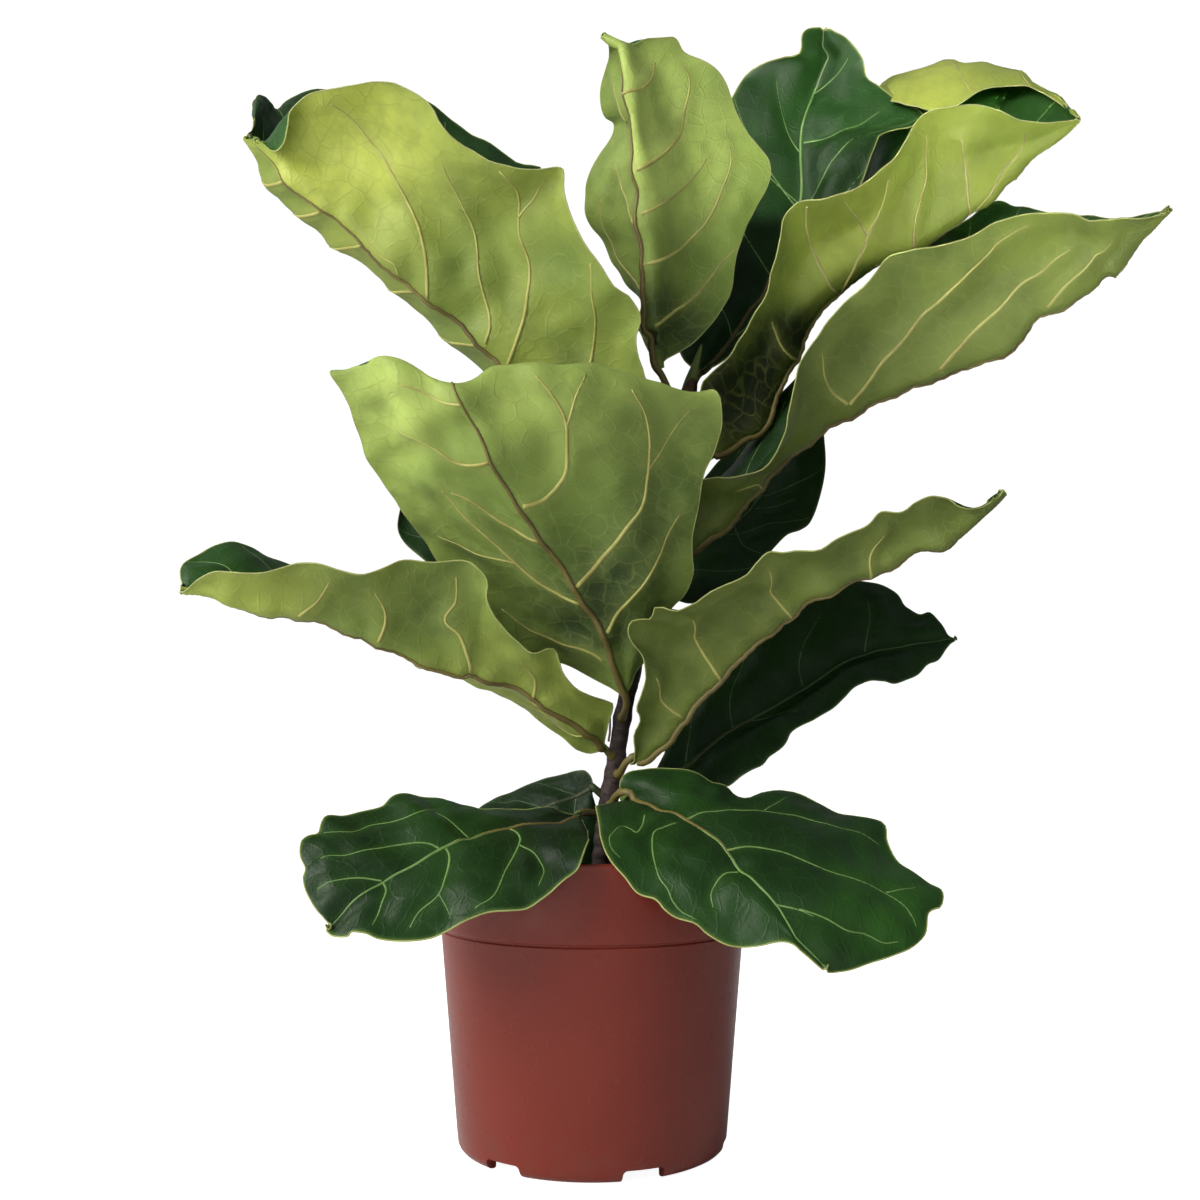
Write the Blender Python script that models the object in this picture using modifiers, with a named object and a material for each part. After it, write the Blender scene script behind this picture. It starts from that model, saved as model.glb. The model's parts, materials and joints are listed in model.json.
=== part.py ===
"""Potted fiddle leaf fig: a young Ficus lyrata in a round moulded nursery pot.
Metres, +Z up, +X to the right, the front looks along -Y. The origin is on the pot's axis, at the level of its foot.

The pot, its soil, the woody stem, two dry stipules, the terminal bud and fourteen leaves are one closed body each.
Every leaf grew as one piece, petiole and blade together, so it is one node.

The leaves are set out on a front elevation drawn in perspective from EYE: each control point has a column and a row
on that sheet and a depth in millimetres behind (+) or in front of (-) the pot's axis. spot() turns it into a point in space."""

import bpy
import bmesh
from math import atan, cos, pi, radians, sin, tan
from mathutils import Vector
import numpy as np

MM = 0.001

# ---- pot, millimetres
RIM_R, RIM_Z = 84.5, 153.2
STEP_R, STEP_Z = 82.0, 114.1
WALL_R = 81.3
FOOT_R = 70.8
CORNER = 5.0
WALL = 1.7
FOOT_IN_R = 64.0
PLATE_Z, PLATE_TOP = 6.8, 9.0
BOSS_R = 13.0
NOTCHES, NOTCH_FIRST, NOTCH_W, NOTCH_H = 6, 21.0, 22.0, 6.0
POT_STEPS = 60
# ---- soil, millimetres
SOIL_Z, SOIL_GAP = 131.0, 0.5
SOCKET_DEPTH = 14.0
# ---- stem, millimetres
STEM_R0, STEM_R1 = 5.6, 4.6
STEM_GAP = 0.45
# ---- leaves, millimetres
PETIOLE_R = 2.3
BLADE_T = 1.0
RIB_T = 1.9
EDGE_T = 0.7
RINGS_PER_STATION = 1
CELLS = 6

# ---- the elevation sheet
EYE = Vector((0.0, -751.8, 209.4))
TILT = radians(6.17)
SHEET_REACH = 1361.8
SHEET_AXIS, SHEET_MIDDLE = 592.5, 600.0


def spot(column, row, depth):
    """The point at this depth on the sight line through (column, row)."""
    a = (column - SHEET_AXIS) / SHEET_REACH
    b = (SHEET_MIDDLE - row) / SHEET_REACH
    c, s = cos(TILT), sin(TILT)
    t = (depth - EYE.y) / (c - b * s)
    return np.array((EYE.x + a * t, depth, EYE.z + t * (s + b * c)))


# ---- stem: (column, row, depth), from inside the soil to the terminal bud
STEM = [
    (600.5, 893, 0), (601, 868, 0), (604, 836, 1), (609, 800, 2), (616, 760, 3), (623, 716, 4),
    (633, 664, 6), (646, 600, 8), (658, 545, 9), (668, 495, 10), (678, 444, 10), (686, 400, 10),
]

# ---- leaves. "lines" run from the blade's base to its tip, in order across the blade: (place across, points).
# "rib" is the index of the midrib's line. "arch" gives, for each gap between lines, how far its middle stands out on the upper side.
# "front" is the face that the first gap turns to the front. "joint" is where on the stem the petiole springs (a fraction of the stem's length).
LEAVES = {
    "leaf_upper_left": dict(
        front="under", joint=0.836, rib=1, arch=(9, 0, 10),
        lines=[
            (0.0, [(645, 466, -6), (672, 425, -22), (645, 352, -44), (614, 286, -58), (566, 195, -66), (529, 167, -68), (452, 140, -70), (384, 83, -68), (327, 91, -62), (291, 117, -52), (272, 152, -40)]),
            (0.46, [(630, 470, -3), (601, 446, -6), (561, 412, -10), (503, 361, -14), (445, 311, -18), (397, 269, -22), (352, 231, -26), (319, 204, -28), (290, 176, -29), (268, 155, -30), (257, 144, -30)]),
            (0.58, [(627, 474, 2), (590, 455, 6), (543, 421, 8), (480, 366, 8), (424, 322, 4), (380, 276, 0), (333, 243, -6), (300, 217, -12), (275, 188, -14), (262, 170, -18), (254, 152, -24)]),
            (1.0, [(640, 462, 6), (640, 410, 30), (600, 345, 48), (558, 265, 56), (515, 195, 60), (470, 138, 60), (426, 106, 58), (370, 98, 54), (310, 95, 46), (277, 110, 34), (262, 100, 16)]),
        ],
        tip=(247, 138, -26),
    ),
    "leaf_top_left": dict(
        front="under", joint=0.985, rib=1, arch=(8, 6),
        lines=[
            (0.0, [(655, 366, -6), (636, 325, 10), (620, 285, 22), (602, 246, 26), (586, 205, 24), (592, 168, 16), (610, 130, 8), (600, 102, 4), (605, 74, -6), (607, 52, -20)]),
            (0.38, [(661, 368, -10), (655, 340, -16), (650, 300, -24), (647, 255, -31), (643, 215, -36), (638, 175, -40), (633, 135, -42), (628, 95, -43), (624, 66, -43), (618, 48, -42)]),
            (1.0, [(667, 362, -6), (703, 333, 0), (729, 295, 4), (737, 250, 6), (757, 205, 4), (768, 166, 0), (744, 127, -6), (728, 88, -14), (692, 56, -26), (650, 40, -36)]),
        ],
        tip=(602, 35, -40),
    ),
    "leaf_top_back": dict(
        front="upper", joint=0.98, rib=1, arch=(5, 5),
        lines=[
            (0.0, [(699, 374, 22), (698, 332, 30), (694, 275, 38), (702, 210, 42), (721, 150, 44), (734, 98, 44), (764, 63, 42), (800, 45, 38)]),
            (0.5, [(703, 372, 24), (734, 335, 36), (765, 280, 46), (789, 225, 50), (801, 170, 52), (805, 125, 54), (814, 84, 54), (822, 52, 50)]),
            (1.0, [(708, 372, 24), (756, 335, 36), (810, 280, 38), (842, 225, 34), (872, 155, 34), (884, 112, 42), (870, 84, 48), (848, 46, 44)]),
        ],
        tip=(824, 28, 44),
    ),
    "leaf_top_right": dict(
        front="under", joint=0.885, rib=1, arch=(4, 4),
        lines=[
            (0.0, [(705, 452, -2), (704, 384, -8), (738, 342, -14), (767, 296, -22), (784, 222, -30), (818, 197, -36), (872, 179, -40), (914, 123, -42), (975, 106, -40), (1020, 119, -36), (1052, 121, -30)]),
            (0.42, [(710, 458, 2), (742, 438, 6), (772, 398, 8), (799, 345, 8), (833, 294, 6), (870, 267, 4), (911, 246, 0), (950, 224, -6), (985, 197, -12), (1020, 165, -18), (1055, 139, -22)]),
            (1.0, [(716, 452, 8), (768, 388, 44), (806, 325, 66), (842, 258, 82), (862, 178, 90), (874, 112, 90), (894, 77, 84), (944, 62, 66), (998, 66, 42), (1030, 78, 16), (1060, 96, -6)]),
        ],
        tip=(1080, 119, -24),
    ),
    "leaf_right_large": dict(
        front="under", joint=0.7, rib=1, arch=(5, 4),
        lines=[
            (0.0, [(668, 548, -12), (688, 482, -24), (738, 478, -40), (786, 430, -50), (801, 362, -56), (840, 308, -62), (893, 256, -68), (945, 244, -74), (1000, 221, -78), (1045, 213, -82), (1095, 219, -82), (1142, 216, -78)]),
            (0.44, [(672, 562, -4), (708, 533, -8), (750, 493, -12), (790, 452, -16), (846, 405, -22), (900, 386, -28), (955, 362, -36), (1005, 341, -44), (1045, 306, -50), (1085, 286, -56), (1125, 252, -62), (1152, 228, -66)]),
            (1.0, [(676, 548, 9), (722, 478, 22), (775, 405, 30), (815, 352, 34), (850, 300, 34), (888, 264, 30), (925, 239, 24), (962, 222, 16), (996, 201, 6), (1036, 211, -8), (1092, 216, -28), (1140, 214, -50)]),
        ],
        tip=(1174, 209, -66),
    ),
    "leaf_front_large": dict(
        front="under", joint=0.45, rib=2, arch=(2, 3, 3, 2),
        lines=[
            (0.0, [(617, 697, -12), (566, 664, -18), (488, 642, -26), (432, 556, -40), (394, 500, -54), (367, 450, -66), (349, 405, -80), (332, 374, -92), (345, 384, -74), (400, 400, -52)]),
            (0.25, [(620, 695, -13), (590, 655, -24), (535, 615, -38), (492, 556, -56), (456, 503, -72), (424, 452, -86), (400, 402, -98), (388, 358, -104), (396, 372, -84), (425, 398, -58)]),
            (0.5, [(624, 693, -14), (612, 657, -26), (591, 613, -40), (561, 564, -58), (532, 523, -72), (502, 479, -86), (478, 431, -98), (460, 390, -104), (452, 398, -84), (447, 410, -60)]),
            (0.75, [(628, 692, -13), (634, 655, -26), (641, 605, -40), (632, 555, -56), (622, 506, -70), (612, 462, -82), (590, 414, -94), (565, 366, -100), (540, 380, -80), (490, 400, -58)]),
            (1.0, [(632, 690, -12), (653, 648, -22), (685, 595, -34), (693, 545, -44), (699, 495, -54), (713, 450, -62), (721, 416, -70), (714, 391, -78), (680, 400, -64), (560, 405, -50)]),
        ],
        tip=(450, 430, -46),
    ),
    "leaf_left_folded": dict(
        front="under", joint=0.372, rib=1, arch=(6, 5),
        lines=[
            (0.0, [(610, 733, -10), (596, 697, -26), (553, 651, -48), (504, 633, -60), (487, 588, -68), (430, 563, -74), (371, 573, -80), (300, 567, -84), (242, 575, -84), (207, 580, -80)]),
            (0.45, [(605, 749, -8), (589, 732, -16), (560, 714, -26), (520, 690, -34), (472, 669, -42), (424, 656, -50), (367, 634, -58), (302, 613, -64), (240, 603, -70), (205, 595, -72)]),
            (1.0, [(600, 757, -4), (577, 751, -4), (541, 722, -4), (492, 694, -2), (446, 660, 6), (390, 618, 12), (332, 580, 6), (281, 563, -10), (234, 544, -30), (190, 560, -52)]),
        ],
        tip=(180, 590, -72),
    ),
    "leaf_back_right": dict(
        front="upper", joint=0.636, rib=1, arch=(4, 4),
        lines=[
            (0.0, [(658, 588, 22), (674, 522, 46), (718, 462, 66), (765, 415, 80), (800, 392, 86)]),
            (0.5, [(664, 594, 20), (702, 547, 38), (745, 514, 54), (776, 468, 68), (800, 425, 78)]),
            (1.0, [(668, 606, 18), (728, 594, 32), (790, 535, 46), (821, 494, 58), (825, 440, 70)]),
        ],
        tip=(812, 392, 84),
    ),
    "leaf_right_folded": dict(
        front="under", joint=0.335, rib=1, arch=(6, 6),
        lines=[
            (0.0, [(630, 752, -16), (638, 706, -34), (643, 655, -48), (634, 621, -58), (690, 608, -60), (752, 566, -62), (805, 550, -66), (860, 529, -70), (900, 511, -74), (936, 496, -76), (972, 509, -74)]),
            (0.45, [(634, 763, -12), (655, 749, -18), (688, 708, -26), (724, 671, -32), (766, 630, -38), (810, 599, -44), (850, 578, -50), (895, 561, -56), (932, 548, -62), (965, 530, -66), (985, 510, -68)]),
            (1.0, [(642, 756, -4), (676, 712, 8), (712, 660, 18), (745, 612, 24), (780, 578, 26), (818, 556, 22), (858, 538, 14), (896, 522, 2), (926, 511, -14), (954, 509, -32), (978, 507, -50)]),
        ],
        tip=(1002, 490, -68),
    ),
    "leaf_right_low_back": dict(
        front="upper", joint=0.3, rib=1, arch=(4, 4),
        lines=[
            (0.0, [(652, 780, 14), (690, 705, 36), (736, 648, 50), (782, 604, 60), (833, 583, 66), (880, 585, 66), (915, 613, 58), (941, 623, 50)]),
            (0.5, [(650, 786, 10), (690, 760, 18), (734, 727, 28), (788, 697, 36), (828, 671, 42), (866, 654, 46), (905, 645, 46), (935, 640, 45)]),
            (1.0, [(653, 791, 6), (710, 782, 2), (764, 760, 4), (795, 729, 10), (846, 696, 16), (882, 680, 24), (914, 677, 32), (940, 658, 40)]),
        ],
        tip=(956, 637, 44),
    ),
    "leaf_back_left": dict(
        front="upper", joint=0.51, rib=1, arch=(4, 4),
        lines=[
            (0.0, [(622, 672, 20), (570, 652, 34), (500, 612, 44), (440, 572, 52), (401, 536, 58), (401, 508, 62)]),
            (0.5, [(618, 668, 22), (570, 620, 40), (518, 580, 54), (470, 548, 64), (432, 520, 70), (410, 502, 70)]),
            (1.0, [(622, 664, 24), (590, 588, 48), (560, 540, 66), (515, 505, 78), (462, 480, 82), (424, 482, 76)]),
        ],
        tip=(402, 490, 66),
    ),
    "leaf_low_left": dict(
        front="upper", joint=0.235, rib=1, arch=(3, 3),
        lines=[
            (0.0, [(578, 806, -22), (533, 810, -34), (486, 811, -42), (440, 800, -46), (398, 794, -60), (360, 813, -72), (324, 826, -84), (303, 850, -94), (306, 886, -102)]),
            (0.5, [(580, 812, -24), (556, 819, -46), (518, 823, -62), (479, 832, -76), (446, 844, -86), (414, 863, -94), (383, 880, -102), (358, 898, -107), (341, 914, -110)]),
            (1.0, [(584, 818, -28), (588, 850, -88), (558, 886, -100), (507, 912, -108), (455, 929, -112), (408, 941, -116), (372, 935, -116), (349, 936, -115), (336, 933, -114)]),
        ],
        tip=(328, 928, -113),
    ),
    "leaf_low_left_back": dict(
        front="upper", joint=0.285, rib=1, arch=(3, 3),
        lines=[
            (0.0, [(590, 782, 2), (560, 775, 14), (524, 786, 24), (488, 806, 30), (458, 822, 30)]),
            (0.5, [(592, 787, 1), (568, 798, 5), (536, 808, 8), (500, 820, 10), (466, 832, 14)]),
            (1.0, [(594, 795, -1), (584, 824, -4), (560, 840, -6), (520, 843, -4), (478, 841, 2)]),
        ],
        tip=(440, 838, 18),
    ),
    "leaf_low_right": dict(
        front="upper", joint=0.262, rib=1, arch=(3, 4),
        lines=[
            (0.0, [(617, 801, -22), (597, 812, -42), (602, 850, -88), (626, 881, -98), (655, 903, -104), (690, 924, -109), (722, 943, -113), (752, 947, -116), (778, 944, -119), (797, 948, -122)]),
            (0.42, [(624, 797, -18), (650, 802, -38), (680, 813, -56), (706, 830, -72), (727, 848, -86), (744, 869, -97), (760, 887, -106), (776, 903, -113), (788, 921, -118), (800, 940, -121)]),
            (1.0, [(622, 789, -16), (658, 769, -18), (712, 784, -22), (772, 793, -28), (836, 809, -38), (886, 834, -54), (908, 868, -70), (941, 899, -86), (926, 937, -102), (876, 962, -114)]),
        ],
        tip=(828, 969, -121),
    ),
}

LEAF_SLOTS = {"leaf_low_left": "mature", "leaf_low_right": "mature", "leaf_low_left_back": "mature"}


# ---------------------------------------------------------------- helpers
def clear():
    for thing in list(bpy.data.objects):
        bpy.data.objects.remove(thing, do_unlink=True)
    for store in (bpy.data.meshes, bpy.data.curves, bpy.data.materials, bpy.data.collections):
        for thing in list(store):
            store.remove(thing)


def collection(name):
    made = bpy.data.collections.new(name)
    bpy.context.scene.collection.children.link(made)
    return made


def material(name, colour, roughness, coat=0.0):
    made = bpy.data.materials.new(name)
    made.use_nodes = True
    shader = made.node_tree.nodes["Principled BSDF"]
    shader.inputs["Base Color"].default_value = (*colour, 1.0)
    shader.inputs["Roughness"].default_value = roughness
    shader.inputs["Coat Weight"].default_value = coat
    return made


def spline(points, t):
    """A cubic through the points (rows of an array) at parameter t, one unit per point, with straight-on ends."""
    p = np.asarray(points, float)
    p = np.vstack([2 * p[0] - p[1], p, 2 * p[-1] - p[-2]])
    i = min(int(t), len(p) - 4)
    f = t - i
    a, b, c, d = p[i : i + 4]
    return 0.5 * (2 * b + (c - a) * f + (2 * a - 5 * b + 4 * c - d) * f * f + (3 * b - a - 3 * c + d) * f**3)


def spline_at(places, points, u):
    """The same kind of cubic through points at uneven places."""
    x, p = list(places), np.asarray(points, float)
    k = max(0, min(len(x) - 2, sum(1 for place in x[1:-1] if place <= u)))
    h = x[k + 1] - x[k]
    f = (u - x[k]) / h

    def slope(j):
        if j == 0:
            return (p[1] - p[0]) / (x[1] - x[0])
        if j == len(x) - 1:
            return (p[-1] - p[-2]) / (x[-1] - x[-2])
        a, b = (p[j] - p[j - 1]) / (x[j] - x[j - 1]), (p[j + 1] - p[j]) / (x[j + 1] - x[j])
        w = (x[j + 1] - x[j]) / (x[j + 1] - x[j - 1])
        return a * w + b * (1 - w)

    m0, m1 = slope(k) * h, slope(k + 1) * h
    return (
        p[k] * (2 * f**3 - 3 * f**2 + 1) + m0 * (f**3 - 2 * f**2 + f)
        + p[k + 1] * (3 * f**2 - 2 * f**3) + m1 * (f**3 - f**2)
    )


def unit(v):
    return v / max(np.linalg.norm(v), 1e-9)


STEM_POINTS = [spot(*p) for p in STEM]


def stem_at(f):
    """Centre, direction and radius of the stem at a fraction of its length."""
    t = f * (len(STEM_POINTS) - 1)
    here = spline(STEM_POINTS, t)
    ahead = spline(STEM_POINTS, min(t + 0.05, len(STEM_POINTS) - 1.0))
    behind = spline(STEM_POINTS, max(t - 0.05, 0.0))
    return here, unit(ahead - behind), STEM_R0 + (STEM_R1 - STEM_R0) * f


def blade(spec, rings, cells):
    """The blade's middle surface as an array [ring][cell] and the places across, ordered so that across x along points out of the upper face."""
    places = [u for u, _ in spec["lines"]]
    tip = spot(*spec["tip"])
    lines = []
    for _, points in spec["lines"]:
        lines.append([spot(*p) for p in points])
    count = len(lines[0])
    end = [lines[k][-1] * 0.06 + tip * 0.94 for k in range(len(lines))]
    net = [[lines[k][s] for k in range(len(lines))] for s in range(count)] + [end]
    net = np.array(net)
    across = net[:, 1] - net[:, 0]
    along = np.gradient(net.mean(axis=1), axis=0)
    facing = sum(np.cross(a, b)[1] for a, b in zip(across, along))
    sign = 1.0 if (facing < 0) == (spec["front"] == "upper") else -1.0
    full_places, full = [], []
    for k in range(len(lines)):
        full_places.append(places[k])
        full.append(net[:, k])
        if k + 1 < len(lines) and spec["arch"][k]:
            gap = net[:, k + 1] - net[:, k]
            out = np.cross(gap, along) * sign
            width = np.linalg.norm(gap, axis=1)
            out = out / np.maximum(np.linalg.norm(out, axis=1), 1e-6)[:, None]
            rise = spec["arch"][k] * np.minimum(width / 60.0, 1.0)
            full_places.append((places[k] + places[k + 1]) / 2)
            full.append((net[:, k] + net[:, k + 1]) / 2 + out * rise[:, None])
    full = np.stack(full, axis=1)
    us = [places[spec["rib"]] * j / (cells // 2) for j in range(cells // 2)]
    us += [places[spec["rib"]] + (1 - places[spec["rib"]]) * j / (cells // 2) for j in range(cells // 2 + 1)]
    rows = []
    for i in range(rings + 1):
        t = i / rings * (len(full) - 1)
        row = np.array([spline(full[:, k], t) for k in range(full.shape[1])])
        rows.append([spline_at(full_places, row, u) for u in us])
    rows = np.array(rows)
    if sign < 0:
        rows = rows[:, ::-1]
    return rows


def leaf_mesh(spec, rings, cells):
    """One closed loft: a round petiole from the stem that flattens into the blade. Each ring runs over the upper face and back under it."""
    middle = blade(spec, rings, cells)
    m = middle.shape[1] - 1
    du = np.gradient(middle, axis=1)
    dv = np.gradient(middle, axis=0)
    normal = np.cross(du, dv)
    normal /= np.maximum(np.linalg.norm(normal, axis=2), 1e-6)[:, :, None]
    # where the blade folds, the offsets grow like a mitre, so that both sides of the fold keep their thickness
    flank = np.cross(np.diff(middle, axis=1), (dv[:, 1:] + dv[:, :-1]) / 2)
    flank /= np.maximum(np.linalg.norm(flank, axis=2), 1e-6)[:, :, None]
    mitre = np.ones(normal.shape[:2])
    for j in range(1, m):
        both = flank[:, j - 1] + flank[:, j]
        normal[:, j] = both / np.maximum(np.linalg.norm(both, axis=1), 1e-6)[:, None]
        lean = ((flank[:, j - 1] + flank[:, j]) * normal[:, j]).sum(axis=1) / 2
        mitre[:, j] = 1.0 / np.clip(lean, 0.5, 1.0)
    body = []
    rib = m // 2
    for i in range(len(middle)):
        fade = max(0.0, 1.0 - i / (len(middle) - 1))
        width = sum(np.linalg.norm(middle[i, j + 1] - middle[i, j]) for j in range(m))
        thin = min(1.0, width / 12.0)
        top, low = [], []
        for j in range(m + 1):
            edge = j in (0, m)
            t = EDGE_T if edge else BLADE_T
            deep = RIB_T * (0.35 + 0.65 * fade) if j == rib else t / 2
            top.append(middle[i, j] + normal[i, j] * t / 2 * thin * mitre[i, j])
            low.append(middle[i, j] - normal[i, j] * max(deep, t / 2 * mitre[i, j]) * thin)
        body.append(top + low[::-1])
    # petiole
    centre, axis, radius = stem_at(spec["joint"])
    base = middle[0, rib]
    out = base - centre
    out -= axis * np.dot(out, axis)
    out = unit(out)
    start = centre + out * (radius + STEM_GAP)
    ahead = unit(middle[1, rib] - middle[0, rib])
    side0 = unit(middle[0, m] - middle[0, 0])
    reach = np.linalg.norm(base - start)
    count = len(body[0])
    half = count // 2
    petiole = []
    steps = 4
    for k in range(steps):
        f = k / steps
        a, b, c, d = start, start + out * reach * 0.35, base - ahead * reach * 0.35, base
        here = a * (1 - f) ** 3 + 3 * b * f * (1 - f) ** 2 + 3 * c * f * f * (1 - f) + d * f**3
        way = unit(3 * (b - a) * (1 - f) ** 2 + 6 * (c - b) * f * (1 - f) + 3 * (d - c) * f * f)
        side = unit(side0 - way * np.dot(side0, way))
        up = unit(np.cross(side, way))
        ring = []
        size = PETIOLE_R * (1.12 if k == 0 else 1.0)
        for j in range(count):
            turn = pi - pi * (j + 0.5) / half if j < half else -pi * (j - half + 0.5) / half
            ring.append(here + side * cos(turn) * size + up * sin(turn) * size)
        petiole.append(ring)
    return petiole + body


def loft(name, rings, where, mat):
    """A closed body through rings of equal count, with a fan at each end."""
    bm = bmesh.new()
    made = [[bm.verts.new(Vector(p) * MM) for p in ring] for ring in rings]
    count = len(made[0])
    for a, b in zip(made, made[1:]):
        for j in range(count):
            k = (j + 1) % count
            # the two faces of a blade are split along the same diagonal, so that they stay parallel where it twists
            if j < count // 2:
                bm.faces.new((a[j], a[k], b[k]))
                bm.faces.new((a[j], b[k], b[j]))
            else:
                bm.faces.new((a[j], a[k], b[j]))
                bm.faces.new((a[k], b[k], b[j]))
    for ring, turned in ((made[0], False), (made[-1], True)):
        half = count // 2
        for j in range(half - 1):
            quad = [ring[j], ring[j + 1], ring[count - 2 - j], ring[count - 1 - j]]
            bm.faces.new(quad if turned else quad[::-1])
    bmesh.ops.recalc_face_normals(bm, faces=bm.faces[:])
    mesh = bpy.data.meshes.new(name)
    bm.to_mesh(mesh)
    bm.free()
    for polygon in mesh.polygons:
        polygon.use_smooth = True
    thing = bpy.data.objects.new(name, mesh)
    where.objects.link(thing)
    mesh.materials.append(mat)
    return thing


def turned(name, profile, where, mat, steps):
    """A closed profile of (radius, height) in millimetres, turned about Z with a Screw modifier."""
    mesh = bpy.data.meshes.new(name)
    points = [(r * MM, 0.0, z * MM) for r, z in profile]
    on_axis = profile[0][0] == 0 and profile[-1][0] == 0
    edges = [(i, i + 1) for i in range(len(points) - 1)] + ([] if on_axis else [(len(points) - 1, 0)])
    mesh.from_pydata(points, edges, [])
    thing = bpy.data.objects.new(name, mesh)
    where.objects.link(thing)
    screw = thing.modifiers.new("turn", "SCREW")
    screw.axis = "Z"
    screw.angle = 2 * pi
    screw.steps = screw.render_steps = steps
    screw.use_merge_vertices = True
    screw.merge_threshold = 0.00001
    screw.use_smooth_shade = True
    mesh.materials.append(mat)
    return thing


def box(name, size, where):
    bm = bmesh.new()
    bmesh.ops.create_cube(bm, size=1.0)
    bmesh.ops.scale(bm, vec=Vector(size) * MM, verts=bm.verts[:])
    mesh = bpy.data.meshes.new(name)
    bm.to_mesh(mesh)
    bm.free()
    thing = bpy.data.objects.new(name, mesh)
    where.objects.link(thing)
    thing.hide_render = True
    thing.display_type = "WIRE"
    return thing


def cut(target, cutter):
    mod = target.modifiers.new("cut_" + cutter.name, "BOOLEAN")
    mod.operation = "DIFFERENCE"
    mod.solver = "EXACT"
    mod.object = cutter


# ---------------------------------------------------------------- build
clear()
PLANT = collection("potted_fiddle_leaf_fig")
CUTTERS = collection("cutters")

plastic = material("terracotta_plastic", (0.22, 0.035, 0.027), 0.38)
earth = material("potting_soil", (0.022, 0.014, 0.010), 0.95)
bark = material("stem_bark", (0.045, 0.026, 0.018), 0.8)
husk = material("dry_husk", (0.10, 0.045, 0.022), 0.85)


def inner_r(z):
    """Radius of the pot's inside at this height."""
    outer = FOOT_R + (WALL_R - FOOT_R) * z / STEP_Z if z < STEP_Z else STEP_R + (RIM_R - STEP_R) * (z - STEP_Z) / (RIM_Z - STEP_Z)
    return outer - WALL


rim_top = RIM_Z
profile = [
    (RIM_R - 0.5, rim_top), (RIM_R, rim_top - 0.7), (RIM_R - 0.1, rim_top - 3.0), (STEP_R, STEP_Z + 0.5), (WALL_R, STEP_Z - 0.5),
    (FOOT_R + (WALL_R - FOOT_R) * 0.5, STEP_Z * 0.5), (FOOT_R + 0.7, CORNER + 3.0), (FOOT_R - 0.2, CORNER * 0.5), (FOOT_R - 2.0, 0.7), (FOOT_R - 3.6, 0.0),
    (FOOT_IN_R, 0.0), (FOOT_IN_R - 0.6, PLATE_Z), (BOSS_R + 1.0, PLATE_Z), (BOSS_R, 0.0), (0.0, 0.0),
]
inside = [
    (0.0, PLATE_TOP), (inner_r(PLATE_TOP) - 3.0, PLATE_TOP), (inner_r(PLATE_TOP + 3.0), PLATE_TOP + 3.0),
    (inner_r(STEP_Z * 0.5), STEP_Z * 0.5), (inner_r(STEP_Z - 1.0) - 0.1, STEP_Z - 1.0), (inner_r(STEP_Z + 1.0) - 0.1, STEP_Z + 1.0), (RIM_R - WALL - 0.2, rim_top - 3.0), (RIM_R - WALL + 0.1, rim_top - 0.4),
]
# the loop starts and ends on the axis: up the inside, over the rim, down the outside and in under the foot
loop = inside + profile
pot = turned("pot", loop, PLANT, plastic, POT_STEPS)
for n in range(NOTCHES):
    notch = box(f"notch_{n + 1}", (NOTCH_W, 16.0, NOTCH_H + 2.0), CUTTERS)
    turn = radians(-90.0 + NOTCH_FIRST + 360.0 / NOTCHES * n)
    middle_r = FOOT_IN_R + 5.6
    notch.location = (cos(turn) * middle_r * MM, sin(turn) * middle_r * MM, (NOTCH_H - (NOTCH_H + 2.0) / 2) * MM)
    notch.rotation_euler = (0.0, 0.0, turn - pi / 2)
    soften = notch.modifiers.new("soften", "BEVEL")
    soften.width = 1.6 * MM
    soften.segments = 2
    soften.limit_method = "ANGLE"
    cut(pot, notch)

stem_foot = STEM_POINTS[0]
soil_low = PLATE_TOP + SOIL_GAP
soil_profile = [
    (0.0, SOIL_Z + 0.6), (30.0, SOIL_Z + 0.4), (60.0, SOIL_Z - 0.4), (inner_r(SOIL_Z) - SOIL_GAP - 2.0, SOIL_Z - 1.2), (inner_r(SOIL_Z) - SOIL_GAP - 0.1, SOIL_Z - 3.0),
    (inner_r(STEP_Z) - SOIL_GAP - 1.0, STEP_Z), (inner_r(STEP_Z * 0.5) - SOIL_GAP - 0.2, STEP_Z * 0.5), (inner_r(PLATE_TOP + 3.0) - SOIL_GAP - 0.2, PLATE_TOP + 4.0),
    (inner_r(PLATE_TOP) - SOIL_GAP - 4.0, soil_low), (0.0, soil_low),
]
soil = turned("soil", soil_profile, PLANT, earth, 40)

# stem: a bevelled curve whose radius tapers, with a ring of leaf scars as slight swellings
path = bpy.data.curves.new("stem", "CURVE")
path.dimensions = "3D"
path.bevel_depth = 1.0 * MM
path.bevel_resolution = 2
path.use_fill_caps = True
line = path.splines.new("POLY")
fine = []
for i in range((len(STEM_POINTS) - 1) * 2 + 1):
    fine.append(spline(STEM_POINTS, i / 2))
line.points.add(len(fine) - 1)
for i, p in enumerate(fine):
    f = i / (len(fine) - 1)
    line.points[i].co = (*(Vector(p) * MM), 1.0)
    line.points[i].radius = STEM_R0 + (STEM_R1 - STEM_R0) * f
path.materials.append(bark)
stem = bpy.data.objects.new("stem", path)
PLANT.objects.link(stem)

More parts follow.
